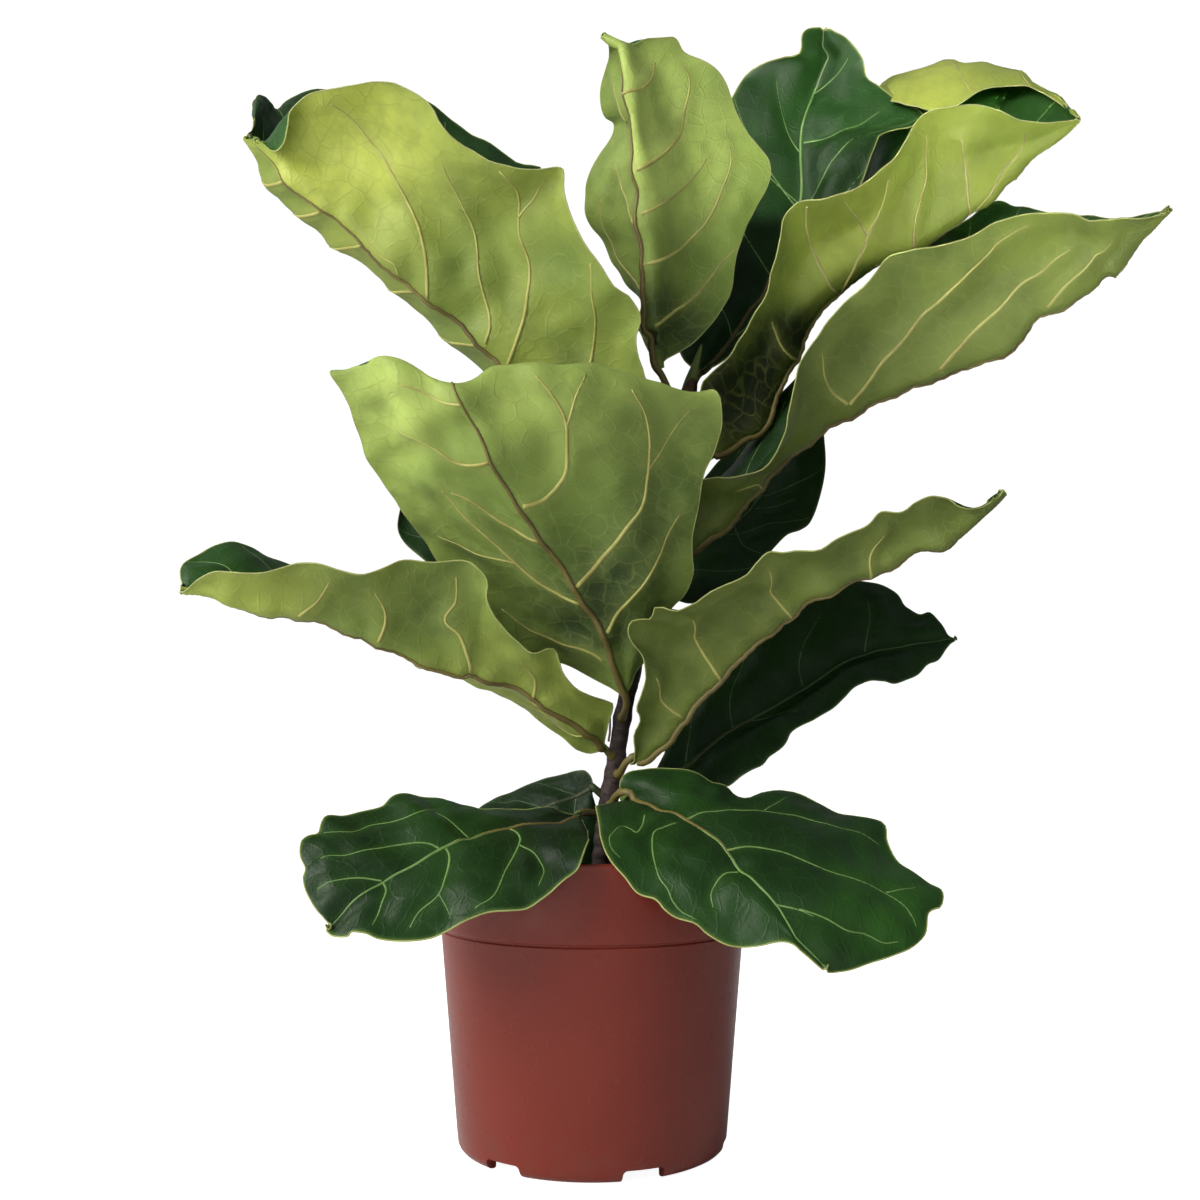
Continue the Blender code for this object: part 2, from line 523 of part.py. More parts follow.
# the socket that the stem stands in
socket_mesh = bpy.data.meshes.new("socket")
bm = bmesh.new()
bmesh.ops.create_cone(bm, cap_ends=True, segments=20, radius1=(STEM_R0 + 1.6) * MM, radius2=(STEM_R0 + 1.6) * MM, depth=2 * SOCKET_DEPTH * MM)
bm.to_mesh(socket_mesh)
bm.free()
socket = bpy.data.objects.new("socket", socket_mesh)
CUTTERS.objects.link(socket)
socket.hide_render = True
socket.display_type = "WIRE"
socket.location = (stem_foot[0] * MM, stem_foot[1] * MM, SOIL_Z * MM)
cut(soil, socket)

# terminal bud: a pointed sheath on top of the stem
centre, axis, radius = stem_at(1.0)
start = centre + axis * STEM_GAP
bud_rings = []
for f, r in ((0.0, 3.6), (0.15, 4.2), (0.4, 3.8), (0.7, 2.3), (1.0, 0.5)):
    here = start + axis * 34.0 * f + np.array((0.6, -0.3, 0.0)) * f * 6
    side = unit(np.cross(axis, np.array((0.0, 1.0, 0.0))))
    other = unit(np.cross(axis, side))
    bud_rings.append([here + side * cos(2 * pi * j / 10) * r + other * sin(2 * pi * j / 10) * r for j in range(10)])
loft("terminal_bud", bud_rings, PLANT, husk)

# dry stipules: narrow scales that stand against the stem above a leaf joint
for name, place, bearing, length in (("stipule_low", 0.40, 178.0, 22.0), ("stipule_high", 0.50, 60.0, 22.0)):
    centre, axis, radius = stem_at(place)
    out = np.array((cos(radians(bearing)), sin(radians(bearing)), 0.0))
    out = unit(out - axis * np.dot(out, axis))
    side = unit(np.cross(axis, out))
    rings = []
    for f, width, stand in ((0.0, 2.2, 0.5), (0.2, 3.4, 0.6), (0.5, 3.0, 1.2), (0.8, 1.7, 2.6), (1.0, 0.3, 4.0)):
        here = centre + axis * length * f + out * (radius + 0.5 + stand)
        ring = []
        for j in range(5):
            w = -1 + j / 2
            ring.append(here + side * width * w + out * 0.35)
        for j in range(5):
            w = 1 - j / 2
            ring.append(here + side * width * w - out * 0.35)
        rings.append(ring)
    loft(name, rings, PLANT, husk)

for name, spec in LEAVES.items():
    tone = (0.045, 0.12, 0.03) if spec["front"] == "upper" else (0.16, 0.27, 0.06)
    mat = material(name + "_green", tone, 0.42)
    stations = len(spec["lines"][0][1])
    loft(name, leaf_mesh(spec, stations * RINGS_PER_STATION, CELLS), PLANT, mat)
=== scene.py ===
"""The looks of the potted fiddle leaf fig, on the CAD frame: fine leaves with raised veins, quilted blades and pale margins, the stem with its
leaf scars, husks, potting mix, and the moulded pot. Shapes follow the same elevation sheet as the CAD part: spot() turns a column, a row and a depth into a point."""
import json
from math import cos, exp, pi, radians, sin

import bmesh
import bpy
import numpy as np
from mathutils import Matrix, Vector, noise

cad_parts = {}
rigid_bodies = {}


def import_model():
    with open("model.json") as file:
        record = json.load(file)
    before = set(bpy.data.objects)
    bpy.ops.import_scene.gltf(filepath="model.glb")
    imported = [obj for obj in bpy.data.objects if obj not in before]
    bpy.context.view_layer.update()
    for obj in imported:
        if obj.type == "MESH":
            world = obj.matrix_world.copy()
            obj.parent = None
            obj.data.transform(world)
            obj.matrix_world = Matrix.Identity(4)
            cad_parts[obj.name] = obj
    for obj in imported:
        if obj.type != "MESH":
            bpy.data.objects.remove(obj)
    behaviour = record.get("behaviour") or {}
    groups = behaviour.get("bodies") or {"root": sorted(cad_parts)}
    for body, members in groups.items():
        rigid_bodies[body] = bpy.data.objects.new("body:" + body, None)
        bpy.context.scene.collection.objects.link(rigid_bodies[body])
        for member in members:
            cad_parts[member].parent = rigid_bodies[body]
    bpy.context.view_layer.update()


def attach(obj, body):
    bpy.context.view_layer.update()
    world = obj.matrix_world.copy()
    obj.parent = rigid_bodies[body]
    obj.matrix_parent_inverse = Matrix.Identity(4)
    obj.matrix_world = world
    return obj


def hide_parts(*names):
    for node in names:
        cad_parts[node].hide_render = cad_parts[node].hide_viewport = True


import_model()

MM = 0.001
ALONG, ACROSS = ((110, 60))

RIM_R, RIM_Z = 84.5, 153.2
STEP_R, STEP_Z = 82.0, 114.1
WALL_R, FOOT_R, WALL = 81.3, 70.8, 1.7
SOIL_Z = 131.0
STEM_R0, STEM_R1 = 5.6, 4.6
STEM_GAP = 0.45

EYE = Vector((0.0, -751.8, 209.4))
TILT = radians(6.17)
SHEET_REACH = 1361.8
SHEET_AXIS, SHEET_MIDDLE = 592.5, 600.0

# ---- the stem and leaves on the elevation sheet: (column, row, depth in mm)
STEM = [
    (600.5, 893, 0), (601, 868, 0), (604, 836, 1), (609, 800, 2), (616, 760, 3), (623, 716, 4),
    (633, 664, 6), (646, 600, 8), (658, 545, 9), (668, 495, 10), (678, 444, 10), (686, 400, 10),
]


# Lines run along the blade, in order across it; "rib" is the midrib line; "arch" lifts the middle of each gap.
LEAVES = {
    "leaf_upper_left": dict(
        front="under", joint=0.836, rib=1, arch=(9, 0, 10),
        lines=[
            (0.0, [(645, 466, -6), (672, 425, -22), (645, 352, -44), (614, 286, -58), (566, 195, -66), (529, 167, -68), (452, 140, -70), (384, 83, -68), (327, 91, -62), (291, 117, -52), (272, 152, -40)]),
            (0.46, [(630, 470, -3), (601, 446, -6), (561, 412, -10), (503, 361, -14), (445, 311, -18), (397, 269, -22), (352, 231, -26), (319, 204, -28), (290, 176, -29), (268, 155, -30), (257, 144, -30)]),
            (0.58, [(627, 474, 2), (590, 455, 6), (543, 421, 8), (480, 366, 8), (424, 322, 4), (380, 276, 0), (333, 243, -6), (300, 217, -12), (275, 188, -14), (262, 170, -18), (254, 152, -24)]),
            (1.0, [(640, 462, 6), (640, 410, 30), (600, 345, 48), (558, 265, 56), (515, 195, 60), (470, 138, 60), (426, 106, 58), (370, 98, 54), (310, 95, 46), (277, 110, 34), (262, 100, 16)]),
        ],
        tip=(247, 138, -26),
    ),
    "leaf_top_left": dict(
        front="under", joint=0.985, rib=1, arch=(8, 6),
        lines=[
            (0.0, [(655, 366, -6), (636, 325, 10), (620, 285, 22), (602, 246, 26), (586, 205, 24), (592, 168, 16), (610, 130, 8), (600, 102, 4), (605, 74, -6), (607, 52, -20)]),
            (0.38, [(661, 368, -10), (655, 340, -16), (650, 300, -24), (647, 255, -31), (643, 215, -36), (638, 175, -40), (633, 135, -42), (628, 95, -43), (624, 66, -43), (618, 48, -42)]),
            (1.0, [(667, 362, -6), (703, 333, 0), (729, 295, 4), (737, 250, 6), (757, 205, 4), (768, 166, 0), (744, 127, -6), (728, 88, -14), (692, 56, -26), (650, 40, -36)]),
        ],
        tip=(602, 35, -40),
    ),
    "leaf_top_back": dict(
        front="upper", joint=0.98, rib=1, arch=(5, 5),
        lines=[
            (0.0, [(699, 374, 22), (698, 332, 30), (694, 275, 38), (702, 210, 42), (721, 150, 44), (734, 98, 44), (764, 63, 42), (800, 45, 38)]),
            (0.5, [(703, 372, 24), (734, 335, 36), (765, 280, 46), (789, 225, 50), (801, 170, 52), (805, 125, 54), (814, 84, 54), (822, 52, 50)]),
            (1.0, [(708, 372, 24), (756, 335, 36), (810, 280, 38), (842, 225, 34), (872, 155, 34), (884, 112, 42), (870, 84, 48), (848, 46, 44)]),
        ],
        tip=(824, 28, 44),
    ),
    "leaf_top_right": dict(
        front="under", joint=0.885, rib=1, arch=(5, 1, -5),
        lines=[
            (0.0, [(705, 452, -2), (704, 384, -8), (738, 342, -14), (767, 296, -22), (784, 222, -30), (818, 197, -36), (872, 179, -40), (914, 123, -42), (975, 106, -40), (1020, 119, -36), (1052, 121, -30)]),
            (0.42, [(710, 458, 2), (742, 438, 6), (772, 398, 8), (799, 345, 8), (833, 294, 6), (870, 267, 4), (911, 246, 0), (950, 224, -6), (985, 197, -12), (1020, 165, -18), (1055, 139, -22)]),
            (0.86, [(716, 452, 8), (768, 388, 44), (806, 325, 66), (842, 258, 82), (862, 178, 90), (874, 112, 90), (894, 77, 84), (944, 62, 66), (998, 66, 42), (1030, 78, 16), (1060, 96, -6)]),
            (1.0, [(718, 455, 10), (768, 390, 42), (808, 328, 62), (845, 262, 74), (864, 184, 80), (868, 102, 66), (892, 101, 46), (946, 109, 24), (984, 88, 14), (1026, 84, 2), (1058, 101, -8)]),
        ],
        tip=(1080, 119, -24),
    ),
    "leaf_right_large": dict(
        front="under", joint=0.7, rib=1, arch=(5, 4),
        lines=[
            (0.0, [(668, 548, -12), (688, 482, -24), (738, 478, -40), (786, 430, -50), (801, 362, -56), (840, 308, -62), (893, 256, -68), (945, 244, -74), (1000, 221, -78), (1045, 213, -82), (1095, 219, -82), (1142, 216, -78)]),
            (0.44, [(672, 562, -4), (708, 533, -8), (750, 493, -12), (790, 452, -16), (846, 405, -22), (900, 386, -28), (955, 362, -36), (1005, 341, -44), (1045, 306, -50), (1085, 286, -56), (1125, 252, -62), (1152, 228, -66)]),
            (1.0, [(676, 548, 9), (722, 478, 22), (775, 405, 30), (815, 352, 34), (850, 300, 34), (888, 264, 30), (925, 239, 24), (962, 222, 16), (996, 201, 6), (1036, 211, -8), (1092, 216, -28), (1140, 214, -50)]),
        ],
        tip=(1174, 209, -66),
    ),
    "leaf_front_large": dict(
        front="under", joint=0.45, rib=2, arch=(2, 3, 3, 2),
        lines=[
            (0.0, [(617, 697, -12), (566, 664, -18), (488, 642, -26), (432, 556, -40), (394, 500, -54), (367, 450, -66), (349, 405, -80), (332, 374, -92), (345, 384, -74), (400, 400, -52)]),
            (0.25, [(620, 695, -13), (590, 655, -24), (535, 615, -38), (492, 556, -56), (456, 503, -72), (424, 452, -86), (400, 402, -98), (388, 358, -104), (396, 372, -84), (425, 398, -58)]),
            (0.5, [(624, 693, -14), (612, 657, -26), (591, 613, -40), (561, 564, -58), (532, 523, -72), (502, 479, -86), (478, 431, -98), (460, 390, -104), (452, 398, -84), (447, 410, -60)]),
            (0.75, [(628, 692, -13), (634, 655, -26), (641, 605, -40), (632, 555, -56), (622, 506, -70), (612, 462, -82), (590, 414, -94), (565, 366, -100), (540, 380, -80), (490, 400, -58)]),
            (1.0, [(632, 690, -12), (653, 648, -22), (685, 595, -34), (693, 545, -44), (699, 495, -54), (713, 450, -62), (721, 416, -70), (714, 391, -78), (680, 400, -64), (560, 405, -50)]),
        ],
        tip=(450, 430, -46),
    ),
    "leaf_left_folded": dict(
        front="under", joint=0.372, rib=1, arch=(6, 5),
        lines=[
            (0.0, [(610, 733, -10), (596, 697, -26), (553, 651, -48), (504, 633, -60), (487, 588, -68), (430, 563, -74), (371, 573, -80), (300, 567, -84), (242, 575, -84), (207, 580, -80)]),
            (0.45, [(605, 749, -8), (589, 732, -16), (560, 714, -26), (520, 690, -34), (472, 669, -42), (424, 656, -50), (367, 634, -58), (302, 613, -64), (240, 603, -70), (205, 595, -72)]),
            (1.0, [(600, 757, -4), (577, 751, -4), (541, 722, -4), (492, 694, -2), (446, 660, 6), (390, 618, 12), (332, 580, 6), (281, 563, -10), (234, 544, -30), (190, 560, -52)]),
        ],
        tip=(180, 590, -72),
    ),
    "leaf_back_right": dict(
        front="upper", joint=0.636, rib=1, arch=(4, 4),
        lines=[
            (0.0, [(658, 588, 22), (674, 522, 46), (718, 462, 66), (765, 415, 80), (800, 392, 86)]),
            (0.5, [(664, 594, 20), (702, 547, 38), (745, 514, 54), (776, 468, 68), (800, 425, 78)]),
            (1.0, [(668, 606, 18), (728, 594, 32), (790, 535, 46), (821, 494, 58), (825, 440, 70)]),
        ],
        tip=(812, 392, 84),
    ),
    "leaf_right_folded": dict(
        front="under", joint=0.335, rib=1, arch=(6, 6),
        lines=[
            (0.0, [(630, 752, -16), (638, 706, -34), (643, 655, -48), (634, 621, -58), (690, 608, -60), (752, 566, -62), (805, 550, -66), (860, 529, -70), (900, 511, -74), (936, 496, -76), (972, 509, -74)]),
            (0.45, [(634, 763, -12), (655, 749, -18), (688, 708, -26), (724, 671, -32), (766, 630, -38), (810, 599, -44), (850, 578, -50), (895, 561, -56), (932, 548, -62), (965, 530, -66), (985, 510, -68)]),
            (1.0, [(642, 756, -4), (676, 712, 8), (712, 660, 18), (745, 612, 24), (780, 578, 26), (818, 556, 22), (858, 538, 14), (896, 522, 2), (926, 511, -14), (954, 509, -32), (978, 507, -50)]),
        ],
        tip=(1002, 490, -68),
    ),
    "leaf_right_low_back": dict(
        front="upper", joint=0.3, rib=1, arch=(4, 4),
        lines=[
            (0.0, [(652, 780, 14), (690, 705, 36), (736, 648, 50), (782, 604, 60), (833, 583, 66), (880, 585, 66), (915, 613, 58), (941, 623, 50)]),
            (0.5, [(650, 786, 10), (690, 760, 18), (734, 727, 28), (788, 697, 36), (828, 671, 42), (866, 654, 46), (905, 645, 46), (935, 640, 45)]),
            (1.0, [(653, 791, 6), (710, 782, 2), (764, 760, 4), (795, 729, 10), (846, 696, 16), (882, 680, 24), (914, 677, 32), (940, 658, 40)]),
        ],
        tip=(956, 637, 44),
    ),
    "leaf_back_left": dict(
        front="upper", joint=0.51, rib=1, arch=(4, 4),
        lines=[
            (0.0, [(622, 672, 20), (570, 652, 34), (500, 612, 44), (440, 572, 52), (401, 536, 58), (401, 508, 62)]),
            (0.5, [(618, 668, 22), (570, 620, 40), (518, 580, 54), (470, 548, 64), (432, 520, 70), (410, 502, 70)]),
            (1.0, [(622, 664, 24), (590, 588, 48), (560, 540, 66), (515, 505, 78), (462, 480, 82), (424, 482, 76)]),
        ],
        tip=(402, 490, 66),
    ),
    "leaf_low_left": dict(
        front="upper", joint=0.235, rib=1, arch=(3, 3),
        lines=[
            (0.0, [(578, 806, -22), (533, 810, -34), (486, 811, -42), (440, 800, -46), (398, 794, -60), (360, 813, -72), (324, 826, -84), (303, 850, -94), (306, 886, -102)]),
            (0.5, [(580, 812, -24), (556, 819, -46), (518, 823, -62), (479, 832, -76), (446, 844, -86), (414, 863, -94), (383, 880, -102), (358, 898, -107), (341, 914, -110)]),
            (1.0, [(584, 818, -28), (588, 850, -88), (558, 886, -100), (507, 912, -108), (455, 929, -112), (408, 941, -116), (372, 935, -116), (349, 936, -115), (336, 933, -114)]),
        ],
        tip=(328, 928, -113),
    ),
    "leaf_low_left_back": dict(
        front="upper", joint=0.285, rib=1, arch=(3, 3),
        lines=[
            (0.0, [(590, 782, 2), (560, 775, 14), (524, 786, 24), (488, 806, 30), (458, 822, 30)]),
            (0.5, [(592, 787, 1), (568, 798, 5), (536, 808, 8), (500, 820, 10), (466, 832, 14)]),
            (1.0, [(594, 795, -1), (584, 824, -4), (560, 840, -6), (520, 843, -4), (478, 841, 2)]),
        ],
        tip=(440, 838, 18),
    ),
    "leaf_low_right": dict(
        front="upper", joint=0.262, rib=1, arch=(3, 4),
        lines=[
            (0.0, [(617, 801, -22), (597, 812, -42), (602, 850, -88), (626, 881, -98), (655, 903, -104), (690, 924, -109), (722, 943, -113), (752, 947, -116), (778, 944, -119), (797, 948, -122)]),
            (0.42, [(624, 797, -18), (650, 802, -38), (680, 813, -56), (706, 830, -72), (727, 848, -86), (744, 869, -97), (760, 887, -106), (776, 903, -113), (788, 921, -118), (800, 940, -121)]),
            (1.0, [(622, 789, -16), (658, 769, -18), (712, 784, -22), (772, 793, -28), (836, 809, -38), (886, 834, -54), (908, 868, -70), (941, 899, -86), (926, 937, -102), (876, 962, -114)]),
        ],
        tip=(828, 969, -121),
    ),
}


# Veins, puckers and patches of painted light and painted shade of each leaf: (which half of the blade, strength, points
# on the sheet) and (column, row, radius on the sheet, height in mm or strength, half); a patch of positive strength is
# painted light, one of negative strength painted shade. "rule" adds laterals by rule: (half, how many, first ring, last
# ring, reach, bend).
DETAILS = {
    "leaf_upper_left": dict(
        veins=[
            ("first", 1.0, [(431, 297), (428, 264), (414, 215), (394, 175), (368, 138), (330, 104)]),
            ("first", 0.9, [(488, 342), (490, 321), (480, 278), (468, 215), (440, 165)]),
            ("first", 1.1, [(510, 364), (527, 307), (530, 264), (521, 215), (499, 171)]),
            ("first", 1.0, [(585, 400), (592, 360), (595, 307), (589, 264)]),
            ("first", 0.7, [(521, 217), (534, 200), (545, 178)]),
            ("first", 0.6, [(402, 271), (396, 262), (380, 250), (350, 218)]),
        ],
        rule=[("last", 7, 0.10, 0.72, 0.20, 1.2)],
        puckers=[(405, 240, 26, -3.0, "first"), (445, 265, 22, -3.0, "first"), (330, 150, 34, 2.5, "first"), (375, 205, 22, 2.0, "first")],
        tones=[(330, 140, 52, 0.85, "first"), (290, 190, 30, 0.45, "first"), (400, 190, 70, 0.35, "first"), (560, 310, 90, -0.35, "first"), (600, 340, 60, -0.25, "first")],
        under="under_olive",
    ),
    "leaf_top_left": dict(
        veins=[
            ("last", 1.0, [(628, 95), (644, 86), (653, 64)]),
            ("last", 1.1, [(639, 171), (662, 155), (680, 132), (685, 104), (682, 68)]),
            ("last", 1.1, [(648, 266), (682, 244), (708, 216), (723, 183), (728, 148)]),
            ("last", 1.1, [(652, 325), (680, 306), (708, 280), (736, 247)]),
            ("last", 0.8, [(644, 215), (680, 190), (705, 160)]),
            ("first", 0.8, [(644, 290), (621, 262), (610, 237), (603, 199)]),
            ("first", 0.8, [(640, 224), (625, 193), (618, 163)]),
            ("first", 0.7, [(630, 120), (620, 100), (615, 80)]),
        ],
        puckers=[(665, 110, 26, 2.0, "last"), (690, 180, 26, 2.0, "last")],
        tones=[(650, 130, 60, 0.5, "last"), (665, 80, 36, 0.4, "last"), (620, 190, 40, 0.15, "first"), (690, 320, 60, -0.5, "any"), (640, 310, 40, -0.4, "any")],
        under="under_olive",
    ),
    "leaf_top_back": dict(
        veins=[
            ("last", 0.9, [(803, 140), (838, 130), (880, 110)]),
            ("last", 0.8, [(812, 90), (835, 75), (850, 55)]),
            ("first", 0.8, [(801, 150), (785, 120), (777, 79)]),
            ("first", 0.8, [(798, 200), (765, 170), (745, 130)]),
        ],
        rule=[("both", 3, 0.12, 0.42, 0.2, 1.2)],
    ),
    "leaf_top_right": dict(
        veins=[
            ("first", 1.0, [(835, 290), (815, 255), (805, 229), (806, 205)]),
            ("first", 1.1, [(838, 289), (853, 267), (866, 237), (879, 209), (889, 180)]),
            ("first", 0.7, [(866, 236), (856, 216), (845, 201)]),
            ("first", 1.0, [(966, 208), (967, 190), (964, 167), (961, 137)]),
            ("first", 0.8, [(968, 206), (999, 175), (1020, 150), (1022, 126)]),
            ("first", 0.9, [(910, 246), (915, 215), (925, 170), (925, 135)]),
            ("first", 0.8, [(790, 355), (775, 335), (765, 320)]),
        ],
        rule=[("last", 6, 0.12, 0.8, 0.16, 1.2)],
        tones=[(880, 180, 60, 0.5, "first"), (960, 140, 50, 0.3, "first"), (760, 400, 75, -1.0, "first"), (800, 330, 36, -0.8, "first")],
        under="under_olive",
    ),
    "leaf_right_large": dict(
        veins=[
            ("first", 1.0, [(848, 402), (874, 371), (902, 340), (940, 299), (968, 270), (996, 242), (1028, 224)]),
            ("first", 1.0, [(940, 366), (970, 335), (1007, 299), (1038, 273), (1070, 248)]),
            ("first", 0.9, [(846, 402), (831, 391), (823, 376), (821, 353)]),
            ("first", 0.8, [(1046, 304), (1065, 285), (1090, 260), (1110, 240)]),
            ("first", 0.8, [(760, 485), (750, 482), (735, 485)]),
        ],
        rule=[("last", 7, 0.10, 0.8, 0.15, 1.2)],
        tones=[(960, 290, 120, 0.15, "first"), (1090, 240, 50, 0.15, "first"), (730, 500, 40, 0.1, "first")],
        under="under_grey",
    ),
    "leaf_front_large": dict(
        veins=[
            ("last", 1.2, [(523, 504), (544, 497), (564, 475), (567, 447), (564, 416), (550, 392), (536, 376)]),
            ("last", 0.7, [(566, 425), (574, 400), (584, 376)]),
            ("last", 1.2, [(576, 584), (601, 559), (629, 522), (643, 494), (648, 449), (643, 413), (630, 390)]),
            ("last", 1.1, [(606, 630), (629, 598), (657, 556), (679, 514)]),
            ("last", 0.6, [(646, 470), (668, 440), (690, 410)]),
            ("first", 0.9, [(603, 658), (567, 643), (539, 632), (502, 607)]),
            ("first", 1.0, [(580, 600), (544, 584), (516, 562), (488, 536), (460, 508), (443, 488)]),
            ("first", 0.9, [(540, 538), (502, 520), (471, 500), (452, 491)]),
            ("first", 0.9, [(490, 460), (460, 463), (432, 449), (400, 430)]),
            ("first", 0.7, [(516, 562), (480, 552), (440, 535)]),
            ("first", 0.8, [(462, 405), (440, 400), (400, 385)]),
        ],
        puckers=[(440, 440, 20, 5.0, "first"), (402, 455, 18, 3.5, "first"), (425, 478, 14, -3.0, "first"), (520, 440, 26, -3.5, "last"), (545, 460, 16, 3.0, "last"), (470, 425, 14, 3.0, "first"), (600, 470, 26, 2.0, "last"),
                 (390, 400, 22, 2.0, "first"), (670, 430, 24, 2.5, "last")],
        tones=[(410, 410, 60, 0.9, "first"), (520, 420, 60, 0.8, "last"), (600, 400, 60, 0.5, "last"), (470, 560, 70, -0.6, "first"), (560, 620, 60, -0.6, "first"), (640, 560, 50, -0.2, "last")],
        under="under_fresh",
    ),
    "leaf_left_folded": dict(
        veins=[
            ("first", 1.0, [(470, 667), (462, 639), (446, 620), (456, 600), (456, 576)]),
            ("first", 0.9, [(380, 638), (385, 615), (375, 590)]),
            ("first", 0.9, [(535, 693), (534, 675), (521, 660)]),
            ("first", 0.8, [(300, 612), (320, 598), (330, 580)]),
        ],
        rule=[("last", 6, 0.12, 0.75, 0.16, 1.2)],
        tones=[(420, 600, 60, 0.35, "first"), (560, 700, 40, 0.3, "first"), (300, 590, 50, 0.1, "first")],
        under="under_olive",
    ),
    "leaf_back_right": dict(
        veins=[("any", 0.8, [(755, 505), (775, 505), (795, 498)]), ("any", 0.8, [(735, 520), (745, 545), (765, 555)])],
        rule=[("both", 4, 0.1, 0.7, 0.2, 1.2)],
        dark=True,
    ),
    "leaf_right_folded": dict(
        veins=[
            ("first", 1.0, [(717, 676), (696, 641), (692, 616)]),
            ("first", 0.9, [(680, 714), (659, 697), (651, 679)]),
            ("first", 0.8, [(790, 612), (770, 590), (768, 570)]),
            ("first", 0.8, [(870, 571), (870, 555), (880, 530)]),
        ],
        rule=[("last", 6, 0.12, 0.75, 0.16, 1.2)],
        tones=[(900, 540, 70, 0.2, "first"), (690, 650, 60, -0.1, "first"), (640, 730, 30, 0.3, "first")],
        under="under_grey",
    ),
    "leaf_right_low_back": dict(
        veins=[
            ("any", 0.9, [(734, 725), (731, 695), (745, 655)]),
            ("any", 0.9, [(804, 684), (801, 655), (822, 612)]),
            ("any", 0.8, [(687, 760), (686, 721), (690, 700)]),
            ("any", 0.8, [(866, 650), (870, 620), (868, 600)]),
            ("any", 0.7, [(750, 718), (780, 715), (800, 712)]),
        ],
        dark=True,
    ),
    "leaf_back_left": dict(rule=[("both", 4, 0.1, 0.7, 0.2, 1.2)], dark=True),
    "leaf_low_left": dict(
        veins=[
            ("any", 1.0, [(511, 824), (520, 834), (519, 843), (507, 866), (493, 896), (475, 908)]),
            ("any", 0.8, [(520, 843), (534, 851), (544, 868), (539, 885)]),
            ("any", 1.0, [(447, 845), (450, 855), (446, 874), (439, 893), (420, 910), (410, 927)]),
            ("any", 0.6, [(439, 893), (446, 906), (450, 915)]),
            ("any", 0.9, [(384, 880), (386, 893), (380, 910), (373, 924)]),
            ("any", 0.9, [(440, 845), (425, 841), (395, 844), (359, 850), (320, 857)]),
            ("any", 0.8, [(383, 878), (364, 876), (332, 880), (317, 888)]),
            ("any", 0.7, [(470, 833), (450, 818), (435, 808)]),
            ("any", 0.8, [(435, 808), (416, 811), (374, 823), (349, 830), (324, 833)]),
        ],
    ),
    "leaf_low_left_back": dict(rule=[("both", 3, 0.15, 0.6, 0.2, 1.2)], dark=True),
    "leaf_low_right": dict(
        veins=[
            ("any", 1.0, [(684, 815), (716, 809), (764, 809), (805, 816), (847, 828), (880, 845)]),
            ("any", 0.6, [(765, 808), (788, 796)]),
            ("any", 1.0, [(727, 846), (754, 845), (798, 856), (842, 873), (887, 892), (910, 912), (917, 927)]),
            ("any", 0.6, [(888, 891), (917, 887)]),
            ("any", 0.9, [(677, 820), (665, 825), (654, 832), (654, 856), (665, 885), (677, 907), (697, 920)]),
            ("any", 0.9, [(739, 867), (723, 873), (712, 890), (713, 907)]),
            ("any", 0.8, [(645, 812), (638, 830), (624, 824), (611, 834), (611, 847), (621, 858)]),
            ("any", 0.8, [(776, 901), (796, 907), (815, 916)]),
            ("any", 0.8, [(800, 908), (844, 928), (866, 934), (884, 943), (900, 942)]),
        ],
    ),
}

